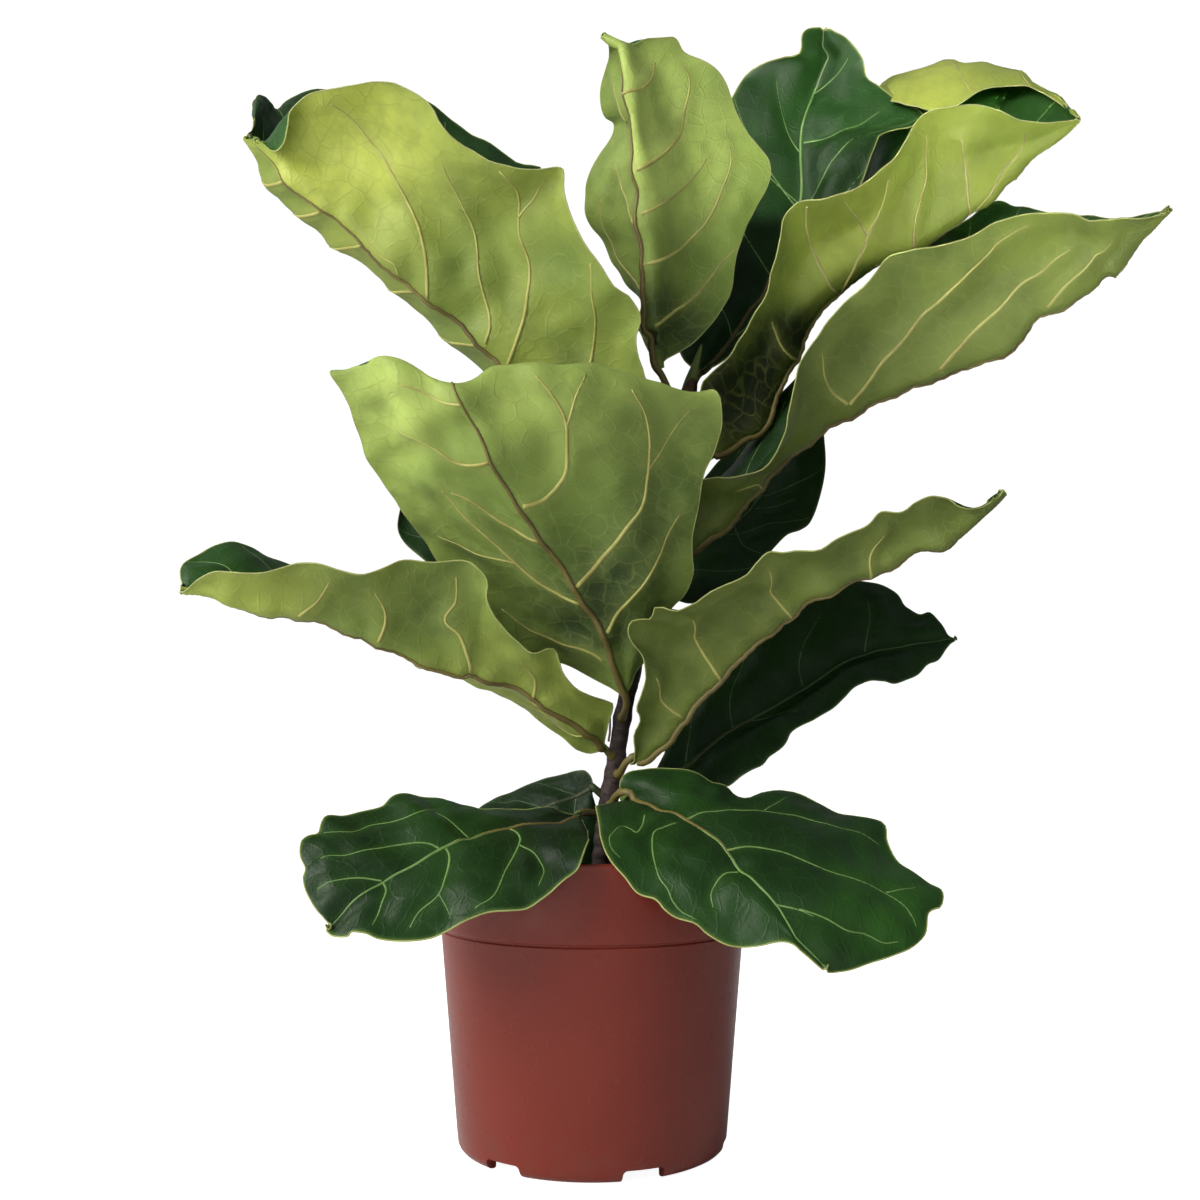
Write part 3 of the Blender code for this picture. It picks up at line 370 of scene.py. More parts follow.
# Where the margins, midribs and folded crests run on the sheet.
OUTLINES = {
    "leaf_upper_left": {
        "first": [(643, 377), (636, 341), (640, 318), (629, 296), (615, 287), (597, 264), (580, 241), (570, 215), (563, 189), (562, 168), (531, 168), (503, 165), (477, 156), (448, 135), (425, 102), (402, 87), (382, 82), (345, 87), (312, 94), (297, 104), (291, 113), (289, 126), (286, 142), (281, 149), (275, 152), (268, 149), (260, 143), (250, 140)],
        "last": [(540, 167), (517, 161), (494, 146), (460, 126), (428, 103), (400, 92), (350, 93), (312, 93), (297, 96), (288, 101), (277, 110), (272, 104), (264, 97), (256, 99), (254, 112), (256, 124), (249, 137)],
        "rib": [(503, 363), (431, 298), (402, 275), (359, 237), (339, 218), (319, 204), (290, 182), (272, 160), (258, 146)],
    },
    "leaf_top_left": {
        "first": [(640, 300), (622, 276), (610, 262), (600, 242), (591, 229), (586, 209), (587, 186), (593, 165), (606, 142), (613, 124), (605, 116), (600, 104), (602, 84), (608, 66), (610, 48), (604, 36)],
        "last": [(664, 360), (688, 347), (713, 321), (723, 306), (731, 290), (733, 265), (739, 244), (746, 227), (759, 201), (769, 178), (769, 163), (764, 153), (749, 135), (733, 107), (727, 86), (718, 71), (703, 61), (685, 52), (677, 40), (670, 37), (647, 40), (629, 46), (612, 43), (604, 36)],
        "rib": [(657, 359), (649, 321), (648, 265), (642, 224), (637, 171), (628, 94), (621, 48)],
    },
    "leaf_top_back": {
        "first": [(727, 110), (732, 97), (746, 75), (764, 63), (782, 58), (799, 52), (801, 36), (807, 29), (820, 26)],
        "last": [(926, 120), (918, 109), (905, 104), (892, 97), (876, 84), (866, 76), (862, 58), (848, 40), (832, 29)],
        "rib": [(765, 290), (790, 225), (801, 195), (801, 130), (815, 90), (828, 58)],
    },
    "leaf_top_right": {
        "first": [(704, 381), (718, 368), (732, 354), (739, 340), (749, 329), (757, 312), (767, 298), (771, 278), (778, 257), (783, 236), (784, 221), (791, 207), (799, 200), (816, 198), (830, 195), (858, 187), (880, 173), (900, 155), (917, 122), (930, 110), (952, 106), (977, 105), (1000, 110), (1022, 119), (1050, 121), (1074, 119)],
        "rib": [(766, 416), (775, 388), (790, 355), (834, 290), (860, 270), (905, 247), (923, 243), (949, 225), (968, 205), (987, 196), (1008, 175), (1037, 152), (1058, 137), (1076, 122)],
    },
    "leaf_right_large": {
        "first": [(700, 480), (732, 478), (753, 473), (769, 464), (780, 450), (787, 429), (791, 401), (796, 380), (802, 358), (830, 318), (860, 291), (880, 265), (893, 255), (940, 245), (968, 237), (996, 222), (1037, 213), (1075, 214), (1091, 219), (1108, 217), (1149, 215), (1168, 210)],
        "rib": [(700, 540), (735, 509), (764, 472), (780, 457), (803, 443), (826, 425), (858, 405), (882, 397), (907, 386), (932, 375), (955, 366), (973, 363), (993, 354), (1017, 337), (1037, 313), (1061, 302), (1091, 287), (1106, 271), (1114, 270), (1125, 253), (1139, 237), (1150, 229), (1168, 213)],
    },
    "leaf_front_large": {
        "first": [(341, 378), (351, 402), (359, 433), (373, 469), (399, 508), (432, 553), (465, 600), (500, 645)],
        "last": [(719, 398), (721, 424), (713, 452), (704, 475), (696, 514), (692, 553), (693, 573), (685, 593), (671, 609), (655, 640), (640, 668)],
        "rib": [(624, 693), (612, 657), (601, 626), (581, 598), (561, 564), (539, 534), (516, 500), (494, 466), (480, 435), (466, 410), (459, 392)],
    },
    "leaf_left_folded": {
        "first": [(612, 703), (589, 695), (570, 682), (560, 662), (553, 649), (534, 652), (521, 646), (501, 626), (488, 604), (487, 584), (480, 571), (465, 562), (430, 563), (397, 563), (371, 573), (345, 571), (316, 564), (290, 568), (257, 574), (212, 573), (184, 590)],
        "rib": [(592, 734), (560, 714), (534, 695), (472, 669), (459, 672), (430, 664), (404, 651), (381, 640), (358, 631), (326, 620), (290, 612), (261, 610), (231, 602), (215, 595), (186, 593)],
        "last": [(576, 750), (563, 738), (544, 722), (524, 708), (495, 693), (475, 688), (459, 677)],
    },
    "leaf_back_right": {"last": [(774, 547), (787, 534), (801, 529), (811, 520), (820, 495), (825, 464), (823, 428)]},
    "leaf_right_folded": {
        "first": [(627, 764), (633, 738), (640, 719), (636, 708), (643, 689), (646, 676), (643, 654), (629, 635), (632, 621), (652, 620), (656, 609), (678, 613), (694, 606), (715, 590), (745, 577), (755, 563), (769, 550), (788, 551), (814, 549), (841, 537), (865, 526), (881, 511), (903, 511), (916, 503), (932, 495), (948, 499), (959, 508), (975, 510), (1000, 491)],
        "rib": [(648, 756), (667, 735), (688, 708), (715, 679), (739, 657), (766, 630), (788, 612), (833, 585), (852, 577), (889, 563), (916, 550), (943, 545), (956, 537), (967, 529), (1000, 493)],
    },
    "leaf_right_low_back": {
        "first": [(833, 585), (865, 581), (884, 585), (897, 596), (905, 608), (919, 614), (930, 612), (940, 622), (948, 633), (955, 637)],
        "last": [(707, 783), (726, 786), (742, 775), (761, 766), (769, 756), (782, 746), (790, 731), (814, 721), (836, 705), (852, 687), (871, 677), (884, 680), (897, 683), (916, 676), (927, 665), (938, 660), (948, 646), (955, 638)],
        "rib": [(680, 768), (734, 727), (788, 697), (828, 671), (865, 652), (905, 645), (950, 638)],
    },
    "leaf_low_left": {
        "first": [(486, 811), (469, 809), (437, 799), (412, 794), (399, 794), (391, 798), (383, 807), (368, 812), (345, 815), (328, 817), (323, 824), (319, 834), (309, 836), (302, 842), (301, 856), (306, 868), (303, 878), (306, 891), (313, 904), (322, 916)],
        "last": [(588, 842), (578, 866), (564, 880), (547, 895), (528, 908), (509, 912), (484, 914), (458, 925), (442, 933), (427, 939), (408, 941), (380, 939), (366, 933), (351, 931), (347, 936), (334, 935), (326, 929)],
        "rib": [(560, 820), (538, 823), (509, 825), (479, 832), (446, 844), (414, 863), (383, 879), (355, 899), (339, 916)],
    },
    "leaf_low_left_back": {"first": [(590, 770), (570, 773), (543, 779), (519, 788), (500, 797), (488, 805), (480, 812)]},
    "leaf_low_right": {
        "first": [(596, 806), (599, 822), (602, 842), (609, 859), (624, 876), (638, 893), (655, 899), (665, 910), (677, 918), (696, 924), (708, 934), (725, 944), (740, 947), (759, 946), (781, 942), (796, 945), (805, 953), (822, 967)],
        "last": [(607, 788), (616, 778), (626, 774), (643, 769), (677, 769), (696, 774), (711, 784), (725, 786), (735, 795), (745, 797), (764, 794), (788, 790), (798, 792), (822, 803), (844, 813), (871, 821), (884, 827), (887, 842), (897, 859), (912, 871), (929, 883), (942, 893), (941, 907), (929, 913), (925, 936), (905, 951), (871, 963), (851, 971), (839, 973)],
        "rib": [(662, 808), (682, 815), (706, 830), (725, 845), (740, 866), (759, 885), (776, 900), (786, 917), (796, 936)],
    },
}
for _name, _lines in OUTLINES.items():
    DETAILS[_name]["outline"] = _lines
DETAILS["leaf_front_large"]["crest"] = [
    (0.70, [(332, 374), (348, 369), (373, 358), (393, 358), (413, 365), (432, 376), (449, 386), (460, 388), (477, 382), (494, 368), (516, 365), (561, 369), (594, 362), (617, 369), (657, 382), (693, 392), (714, 391)], 0.05),
]

# the finer blades reach a little further behind their neighbours than the plain ones
DETAILS["leaf_top_back"]["lines"] = [
    (0.0, [(694, 379, 20), (676, 338, 34), (672, 275, 46), (688, 210, 50), (714, 150, 50), (734, 98, 46), (764, 63, 42), (800, 45, 38)]),
    (0.5, [(703, 372, 24), (734, 335, 36), (765, 280, 46), (789, 225, 50), (801, 170, 52), (805, 125, 54), (814, 84, 54), (822, 52, 50)]),
    (1.0, [(708, 372, 24), (756, 335, 36), (810, 280, 38), (842, 225, 34), (872, 155, 34), (884, 112, 42), (870, 84, 48), (848, 46, 44)]),
]
DETAILS["leaf_low_left_back"]["lines"] = [
    (0.0, [(592, 780, 4), (560, 775, 14), (524, 786, 24), (488, 806, 30), (458, 822, 30)]),
    (0.5, [(592, 787, 1), (568, 798, 5), (536, 808, 8), (500, 820, 10), (466, 832, 14)]),
    (1.0, [(599, 800, 4), (594, 862, 6), (566, 866, 0), (522, 850, -4), (478, 841, 2)]),
]

# patches of painted light (positive strength) and painted shade (negative strength) on each leaf, in place of those
# above
LIGHT_AND_SHADE_PATCHES = {
    "leaf_upper_left": [(330, 140, 60, 1.0, "first"), (380, 110, 50, 0.5, "first"), (290, 190, 34, 0.55, "first"), (400, 190, 80, 0.35, "first"), (585, 350, 60, -0.3, "first"), (450, 260, 26, -0.35, "first")],
    "leaf_top_left": [(655, 100, 70, 0.9, "last"), (700, 190, 70, 0.6, "last"), (620, 190, 40, 0.1, "first"), (685, 325, 50, -0.7, "any"), (640, 310, 40, -0.4, "any")],
    "leaf_top_right": [(860, 220, 70, 0.55, "first"), (960, 140, 60, 0.45, "first"), (930, 85, 60, 0.8, "last"), (745, 395, 62, -1.0, "first"), (790, 330, 34, -0.75, "first")],
    "leaf_front_large": [(400, 405, 55, 1.0, "first"), (505, 400, 40, 0.6, "last"), (560, 400, 50, 0.25, "last"), (480, 560, 80, -0.25, "first"), (600, 610, 70, -0.85, "any"), (660, 520, 60, -0.45, "last"), (670, 430, 60, -0.3, "last")],
    "leaf_left_folded": [(430, 590, 60, -0.35, "first"), (350, 620, 50, -0.2, "first"), (560, 690, 40, 0.2, "first")],
    "leaf_right_folded": [(900, 540, 70, 0.35, "first"), (730, 620, 70, -0.35, "first"), (640, 730, 30, 0.2, "first")],
    "leaf_right_large": [(960, 290, 90, -0.1, "first"), (1090, 240, 50, 0.1, "first"), (850, 370, 60, -0.25, "first")],
    "leaf_low_left": [(540, 845, 50, -0.8, "any"), (360, 850, 60, -0.4, "any")],
    "leaf_low_right": [(880, 905, 70, 0.7, "any"), (640, 850, 50, 0.3, "any"), (770, 840, 60, -0.4, "any")],
}
for _name, _painted_patches in LIGHT_AND_SHADE_PATCHES.items():
    DETAILS[_name]["tones"] = _painted_patches
DETAILS["leaf_top_right"]["under"] = "under_glow"
DETAILS["leaf_top_left"]["under"] = "under_fresh"

# this leaf sits in shade, so it gets the darker copies of its materials: painted shade
DETAILS["leaf_back_left"]["dark"] = True
DETAILS["leaf_upper_left"]["puckers"] = [(405, 240, 26, -4.0, "first"), (445, 262, 20, -5.0, "first"), (330, 150, 34, 3.0, "first"), (375, 205, 22, 3.0, "first"), (480, 310, 20, 3.0, "first"), (300, 190, 20, -2.5, "first"), (440, 170, 30, 2.5, "first"), (560, 260, 34, 3.0, "first")]
DETAILS["leaf_top_right"]["puckers"] = [(820, 250, 20, 3.0, "first"), (900, 180, 26, 2.5, "first"), (870, 240, 18, -2.0, "first")]

# more patches of painted shade (negative) and painted light (positive)
DETAILS["leaf_left_folded"]["tones"] = [(430, 590, 70, -0.5, "first"), (330, 600, 60, -0.35, "first"), (560, 690, 40, 0.25, "first")]
DETAILS["leaf_top_right"]["tones"] = [(860, 220, 70, 0.4, "first"), (960, 140, 60, 0.35, "first"), (930, 85, 60, 1.0, "last"), (740, 400, 70, -1.0, "first"), (790, 330, 34, -0.8, "first")]

# ---- light
WORLD_SEEN, WORLD_FILL, FLOOR_LIFT = 1.05, 0.21, 0.94
LAMPS = (
    ("window", (-1.6, -1.1, 1.45), (0.0, 0.0, 0.36), (1.0, 1.4), 46.0, (1.0, 0.985, 0.94)),
    ("low_fill", (-0.9, -2.2, 0.35), (0.0, 0.0, 0.35), (1.2, 1.0), 4.5, (1.0, 1.0, 0.97)),
    ("strip", (-1.05, -1.12, 0.35), (0.0, 0.0, 0.10), (0.10, 1.1), 3.6, (1.0, 0.99, 0.99)),
    ("upper_glow", (0.42, -1.0, 0.30), (0.19, 0.0, 0.58), (0.2, 0.2), 0.17, (1.0, 1.0, 0.94), 14.0),
    ("back_left", (-1.5, 0.9, 1.6), (0.0, 0.0, 0.45), (1.2, 1.2), 3.0, (1.0, 1.0, 0.97)),
)


# ---------------------------------------------------------------- surfaces
def spot(column, row, depth):
    """The point at this depth on the sight line through (column, row)."""
    a = (column - SHEET_AXIS) / SHEET_REACH
    b = (SHEET_MIDDLE - row) / SHEET_REACH
    c, s = cos(TILT), sin(TILT)
    t = (depth - EYE.y) / (c - b * s)
    return np.array((EYE.x + a * t, depth, EYE.z + t * (s + b * c)))


def on_sheet(points):
    """Columns and rows of points in space, as an array whose last axis is 2."""
    p = np.asarray(points, float)
    y, z = p[..., 1] - EYE.y, p[..., 2] - EYE.z
    c, s = cos(TILT), sin(TILT)
    depth = y * c + z * s
    rise = -y * s + z * c
    return np.stack([SHEET_AXIS + SHEET_REACH * p[..., 0] / depth, SHEET_MIDDLE - SHEET_REACH * rise / depth], axis=-1)


def unit(v):
    return v / max(np.linalg.norm(v), 1e-9)


def spline(points, t):
    p = np.asarray(points, float)
    p = np.concatenate([[2 * p[0] - p[1]], p, [2 * p[-1] - p[-2]]])
    i = min(int(t), len(p) - 4)
    f = t - i
    a, b, c, d = p[i : i + 4]
    return 0.5 * (2 * b + (c - a) * f + (2 * a - 5 * b + 4 * c - d) * f * f + (3 * b - a - 3 * c + d) * f**3)


def spline_at(places, points, u):
    x, p = list(places), np.asarray(points, float)
    k = max(0, min(len(x) - 2, sum(1 for place in x[1:-1] if place <= u)))
    h = x[k + 1] - x[k]
    f = (u - x[k]) / h

    def slope(j):
        if j == 0:
            return (p[1] - p[0]) / (x[1] - x[0])
        if j == len(x) - 1:
            return (p[-1] - p[-2]) / (x[-1] - x[-2])
        a, b = (p[j] - p[j - 1]) / (x[j] - x[j - 1]), (p[j + 1] - p[j]) / (x[j + 1] - x[j])
        w = (x[j + 1] - x[j]) / (x[j + 1] - x[j - 1])
        return a * w + b * (1 - w)

    m0, m1 = slope(k) * h, slope(k + 1) * h
    return p[k] * (2 * f**3 - 3 * f**2 + 1) + m0 * (f**3 - 2 * f**2 + f) + p[k + 1] * (3 * f**2 - 2 * f**3) + m1 * (f**3 - f**2)


STEM_POINTS = [spot(*p) for p in STEM]


def stem_at(f):
    t = f * (len(STEM_POINTS) - 1)
    here = spline(STEM_POINTS, t)
    ahead = spline(STEM_POINTS, min(t + 0.05, len(STEM_POINTS) - 1.0))
    behind = spline(STEM_POINTS, max(t - 0.05, 0.0))
    return here, unit(ahead - behind), STEM_R0 + (STEM_R1 - STEM_R0) * f


def blade(spec, rings, cells):
    """The blade's middle surface [ring][cell], ordered so that across x along points out of the upper face, and whether the order was turned."""
    places = [u for u, _ in spec["lines"]]
    tip = spot(*spec["tip"])
    lines = [[spot(*p) for p in points] for _, points in spec["lines"]]
    count = len(lines[0])
    end = [lines[k][-1] * 0.05 + tip * 0.95 for k in range(len(lines))]
    net = np.array([[lines[k][s] for k in range(len(lines))] for s in range(count)] + [end])
    across = net[:, 1] - net[:, 0]
    along = np.gradient(net.mean(axis=1), axis=0)
    facing = sum(np.cross(a, b)[1] for a, b in zip(across, along))
    sign = 1.0 if (facing < 0) == (spec["front"] == "upper") else -1.0
    full_places, full = [], []
    for k in range(len(lines)):
        full_places.append(places[k])
        full.append(net[:, k])
        if k + 1 < len(lines) and spec["arch"][k]:
            gap = net[:, k + 1] - net[:, k]
            out = np.cross(gap, along) * sign
            width = np.linalg.norm(gap, axis=1)
            out = out / np.maximum(np.linalg.norm(out, axis=1), 1e-6)[:, None]
            rise = spec["arch"][k] * np.minimum(width / 60.0, 1.0)
            full_places.append((places[k] + places[k + 1]) / 2)
            full.append((net[:, k] + net[:, k + 1]) / 2 + out * rise[:, None])
    full = np.stack(full, axis=1)
    rib = places[spec["rib"]]
    half = cells // 2
    us = [rib * j / half for j in range(half)] + [rib + (1 - rib) * j / half for j in range(half + 1)]
    rows = []
    for i in range(rings + 1):
        t = i / rings * (len(full) - 1)
        row = np.array([spline(full[:, k], t) for k in range(full.shape[1])])
        rows.append([spline_at(full_places, row, u) for u in us])
    rows = np.array(rows)
    if sign < 0:
        rows = rows[:, ::-1]
    return rows, sign < 0


def normals_of(grid):
    du, dv = np.gradient(grid, axis=1), np.gradient(grid, axis=0)
    n = np.cross(du, dv)
    return n / np.maximum(np.linalg.norm(n, axis=2), 1e-6)[:, :, None]


def sample(grid, i, j):
    """A point of a grid at fractional indices."""
    i = min(max(i, 0.0), grid.shape[0] - 1.0)
    j = min(max(j, 0.0), grid.shape[1] - 1.0)
    a, b = min(int(i), grid.shape[0] - 2), min(int(j), grid.shape[1] - 2)
    f, g = i - a, j - b
    return (grid[a, b] * (1 - f) + grid[a + 1, b] * f) * (1 - g) + (grid[a, b + 1] * (1 - f) + grid[a + 1, b + 1] * f) * g


def locate(flat, column, row, low, high, hint=None):
    """Fractional indices of the place on a blade that the sheet shows at (column, row), looking only at cells low to high."""
    part = flat[:, low : high + 1]
    gap = (part[..., 0] - column) ** 2 + (part[..., 1] - row) ** 2
    if hint is not None:
        ii, jj = np.indices(gap.shape)
        gap = gap + 0.35 * ((ii - hint[0]) ** 2 + (jj + low - hint[1]) ** 2)
    i, j = np.unravel_index(np.argmin(gap), gap.shape)
    j += low
    a, b = min(max(i, 1), flat.shape[0] - 2), min(max(j, 1), flat.shape[1] - 2)
    jac = np.stack([(flat[a + 1, b] - flat[a - 1, b]) / 2, (flat[a, b + 1] - flat[a, b - 1]) / 2], axis=1)
    det = np.linalg.det(jac)
    if abs(det) < 0.05:
        return float(i), float(j)
    step = np.linalg.solve(jac, np.array((column, row)) - flat[a, b])
    if np.abs(step).max() > 2.0:
        return float(i), float(j)
    return float(a + step[0]), float(min(max(b + step[1], low), high))


# ---------------------------------------------------------------- meshes
class Builder:
    """Collects vertices and faces with a material index and a few numbers per vertex."""

    def __init__(self):
        self.verts, self.faces, self.mats = [], [], []
        self.data = {"edge": [], "tone": [], "vein": [], "flat": []}

    def add(self, points, faces, mat, edge=None, tone=None, vein=None, flat=None):
        start = len(self.verts)
        points = [tuple(p) for p in points]
        n = len(points)
        self.verts += points
        self.faces += [tuple(start + k for k in f) for f in faces]
        self.mats += [mat] * len(faces)
        self.data["edge"] += list(edge) if edge is not None else [10.0] * n
        self.data["tone"] += list(tone) if tone is not None else [0.0] * n
        self.data["vein"] += list(vein) if vein is not None else [0.0] * n
        self.data["flat"] += [tuple(f) for f in flat] if flat is not None else [(p[0] * 0.1, p[2] * 0.1) for p in points]

    def build(self, name, materials):
        mesh = bpy.data.meshes.new(name)
        mesh.from_pydata([tuple(c * MM for c in v) for v in self.verts], [], self.faces)
        for m in materials:
            mesh.materials.append(m)
        mesh.polygons.foreach_set("material_index", self.mats)
        mesh.polygons.foreach_set("use_smooth", [True] * len(self.faces))
        for key in ("edge", "tone", "vein"):
            attribute = mesh.attributes.new(key, "FLOAT", "POINT")
            attribute.data.foreach_set("value", np.array(self.data[key], np.float32))
        uv = mesh.uv_layers.new(name="flat")
        flat = np.array(self.data["flat"], np.float32)
        index = np.empty(len(mesh.loops), np.int32)
        mesh.loops.foreach_get("vertex_index", index)
        uv.data.foreach_set("uv", flat[index].ravel())
        mesh.update()
        thing = bpy.data.objects.new(name, mesh)
        bpy.context.scene.collection.objects.link(thing)
        return thing


def grid_faces(rows, cols, closed=False):
    out = []
    for i in range(rows - 1):
        for j in range(cols if closed else cols - 1):
            k = (j + 1) % cols
            out.append((i * cols + j, i * cols + k, (i + 1) * cols + k, (i + 1) * cols + j))
    return out


def tube(build, path, radii, mat, sides=8, up=None, squash=1.0, vein=None, tone=0.0, caps=True):
    """A tube along a path; where up is given (one vector per point), the section is an ellipse lowered along it by squash."""
    path = np.asarray(path, float)
    n = len(path)
    way = np.gradient(path, axis=0)
    way /= np.maximum(np.linalg.norm(way, axis=1), 1e-9)[:, None]
    if up is None:
        ref = np.array((0.0, 0.0, 1.0)) if abs(way[0][2]) < 0.9 else np.array((0.0, 1.0, 0.0))
        ups = []
        cur = unit(ref - way[0] * np.dot(ref, way[0]))
        for k in range(n):
            cur = unit(cur - way[k] * np.dot(cur, way[k]))
            ups.append(cur)
        up = np.array(ups)
    side = np.cross(way, up)
    side /= np.maximum(np.linalg.norm(side, axis=1), 1e-9)[:, None]
    pts = []
    for k in range(n):
        for s in range(sides):
            a = 2 * pi * s / sides
            pts.append(path[k] + side[k] * cos(a) * radii[k] + up[k] * sin(a) * radii[k] * squash)
    faces = grid_faces(n, sides, True)
    if caps:
        faces.append(tuple(range(sides))[::-1])
        faces.append(tuple((n - 1) * sides + s for s in range(sides)))
    build.add(pts, faces, mat, tone=[tone] * len(pts), vein=[1.0] * len(pts))


def smooth_path(points, count):
    points = [np.asarray(p, float) for p in points]
    if len(points) == 2:
        return [points[0] + (points[1] - points[0]) * k / (count - 1) for k in range(count)]
    return [spline(points, k / (count - 1) * (len(points) - 1)) for k in range(count)]


def mirrored_vein(cells, a, b, side, bend):
    """A lateral from the rib at ring a to near the margin at ring b, on side -1 or +1 of the rib."""
    half = cells // 2
    out = []
    for k in range(8):
        f = k / 7
        out.append((a + (b - a) * (f**bend), half + side * half * 0.96 * f))
    return out


def run_of(points, per=10):
    """A smooth dense line through sheet points, and its length so far at each of its points."""
    p = np.array([spline(points, k / per) for k in range((len(points) - 1) * per + 1)])
    far = np.concatenate([[0.0], np.cumsum(np.linalg.norm(np.diff(p, axis=0), axis=1))])
    return p, far


def pull(line, points, fade=7):
    """How far each point of a line in space has to move, at its own depth, so that the line follows these sheet points; it fades out past their ends."""
    q = on_sheet(line)
    p, far = run_of(np.array(points, float))
    a = int(np.argmin(np.linalg.norm(q - p[0], axis=1)))
    b = int(np.argmin(np.linalg.norm(q - p[-1], axis=1)))
    if a > b:
        a, b = b, a
        p = p[::-1]
        far = far[-1] - far[::-1]
    if b - a < 3:
        return np.zeros_like(line)
    own = np.concatenate([[0.0], np.cumsum(np.linalg.norm(np.diff(q[a : b + 1], axis=0), axis=1))])
    want = own / own[-1] * far[-1]
    goal = np.stack([np.interp(want, far, p[:, 0]), np.interp(want, far, p[:, 1])], axis=1)
    move = np.zeros_like(line)
    for i in range(a, b + 1):
        move[i] = spot(goal[i - a][0], goal[i - a][1], line[i][1]) - line[i]
    for k in range(1, fade):
        w = 0.5 + 0.5 * cos(pi * k / fade)
        if a - k >= 0:
            move[a - k] = move[a] * w
        if b + k < len(line):
            move[b + k] = move[b] * w
    return move


def follow(grid, turned, spec):
    """Moves a blade's midrib, margins and folded crest on to the outlines given for them."""
    half = ACROSS // 2
    outline = spec.get("outline", {})
    place = np.abs(np.arange(ACROSS + 1) - half) / half
    if "rib" in outline:
        move = pull(grid[:, half], outline["rib"])
        grid = grid + move[:, None, :] * (1 - place**1.6)[None, :, None]
    for key, edge in (("first", ACROSS if turned else 0), ("last", 0 if turned else ACROSS)):
        if key in outline:
            for points in outline[key] if isinstance(outline[key][0], list) else [outline[key]]:
                move = pull(grid[:, edge], points)
                weight = np.where((np.arange(ACROSS + 1) <= half) == (edge == 0), place**1.4, 0.0)
                grid = grid + move[:, None, :] * weight[None, :, None]
    for station, points, spread in spec.get("crest", ()):
        ring = int(round(station * ALONG))
        move = pull(grid[ring], points)
        for i in range(grid.shape[0]):
            w = exp(-(((i - ring) / (spread * ALONG)) ** 2))
            if w > 0.02:
                grid[i] = grid[i] + move * w
    return grid


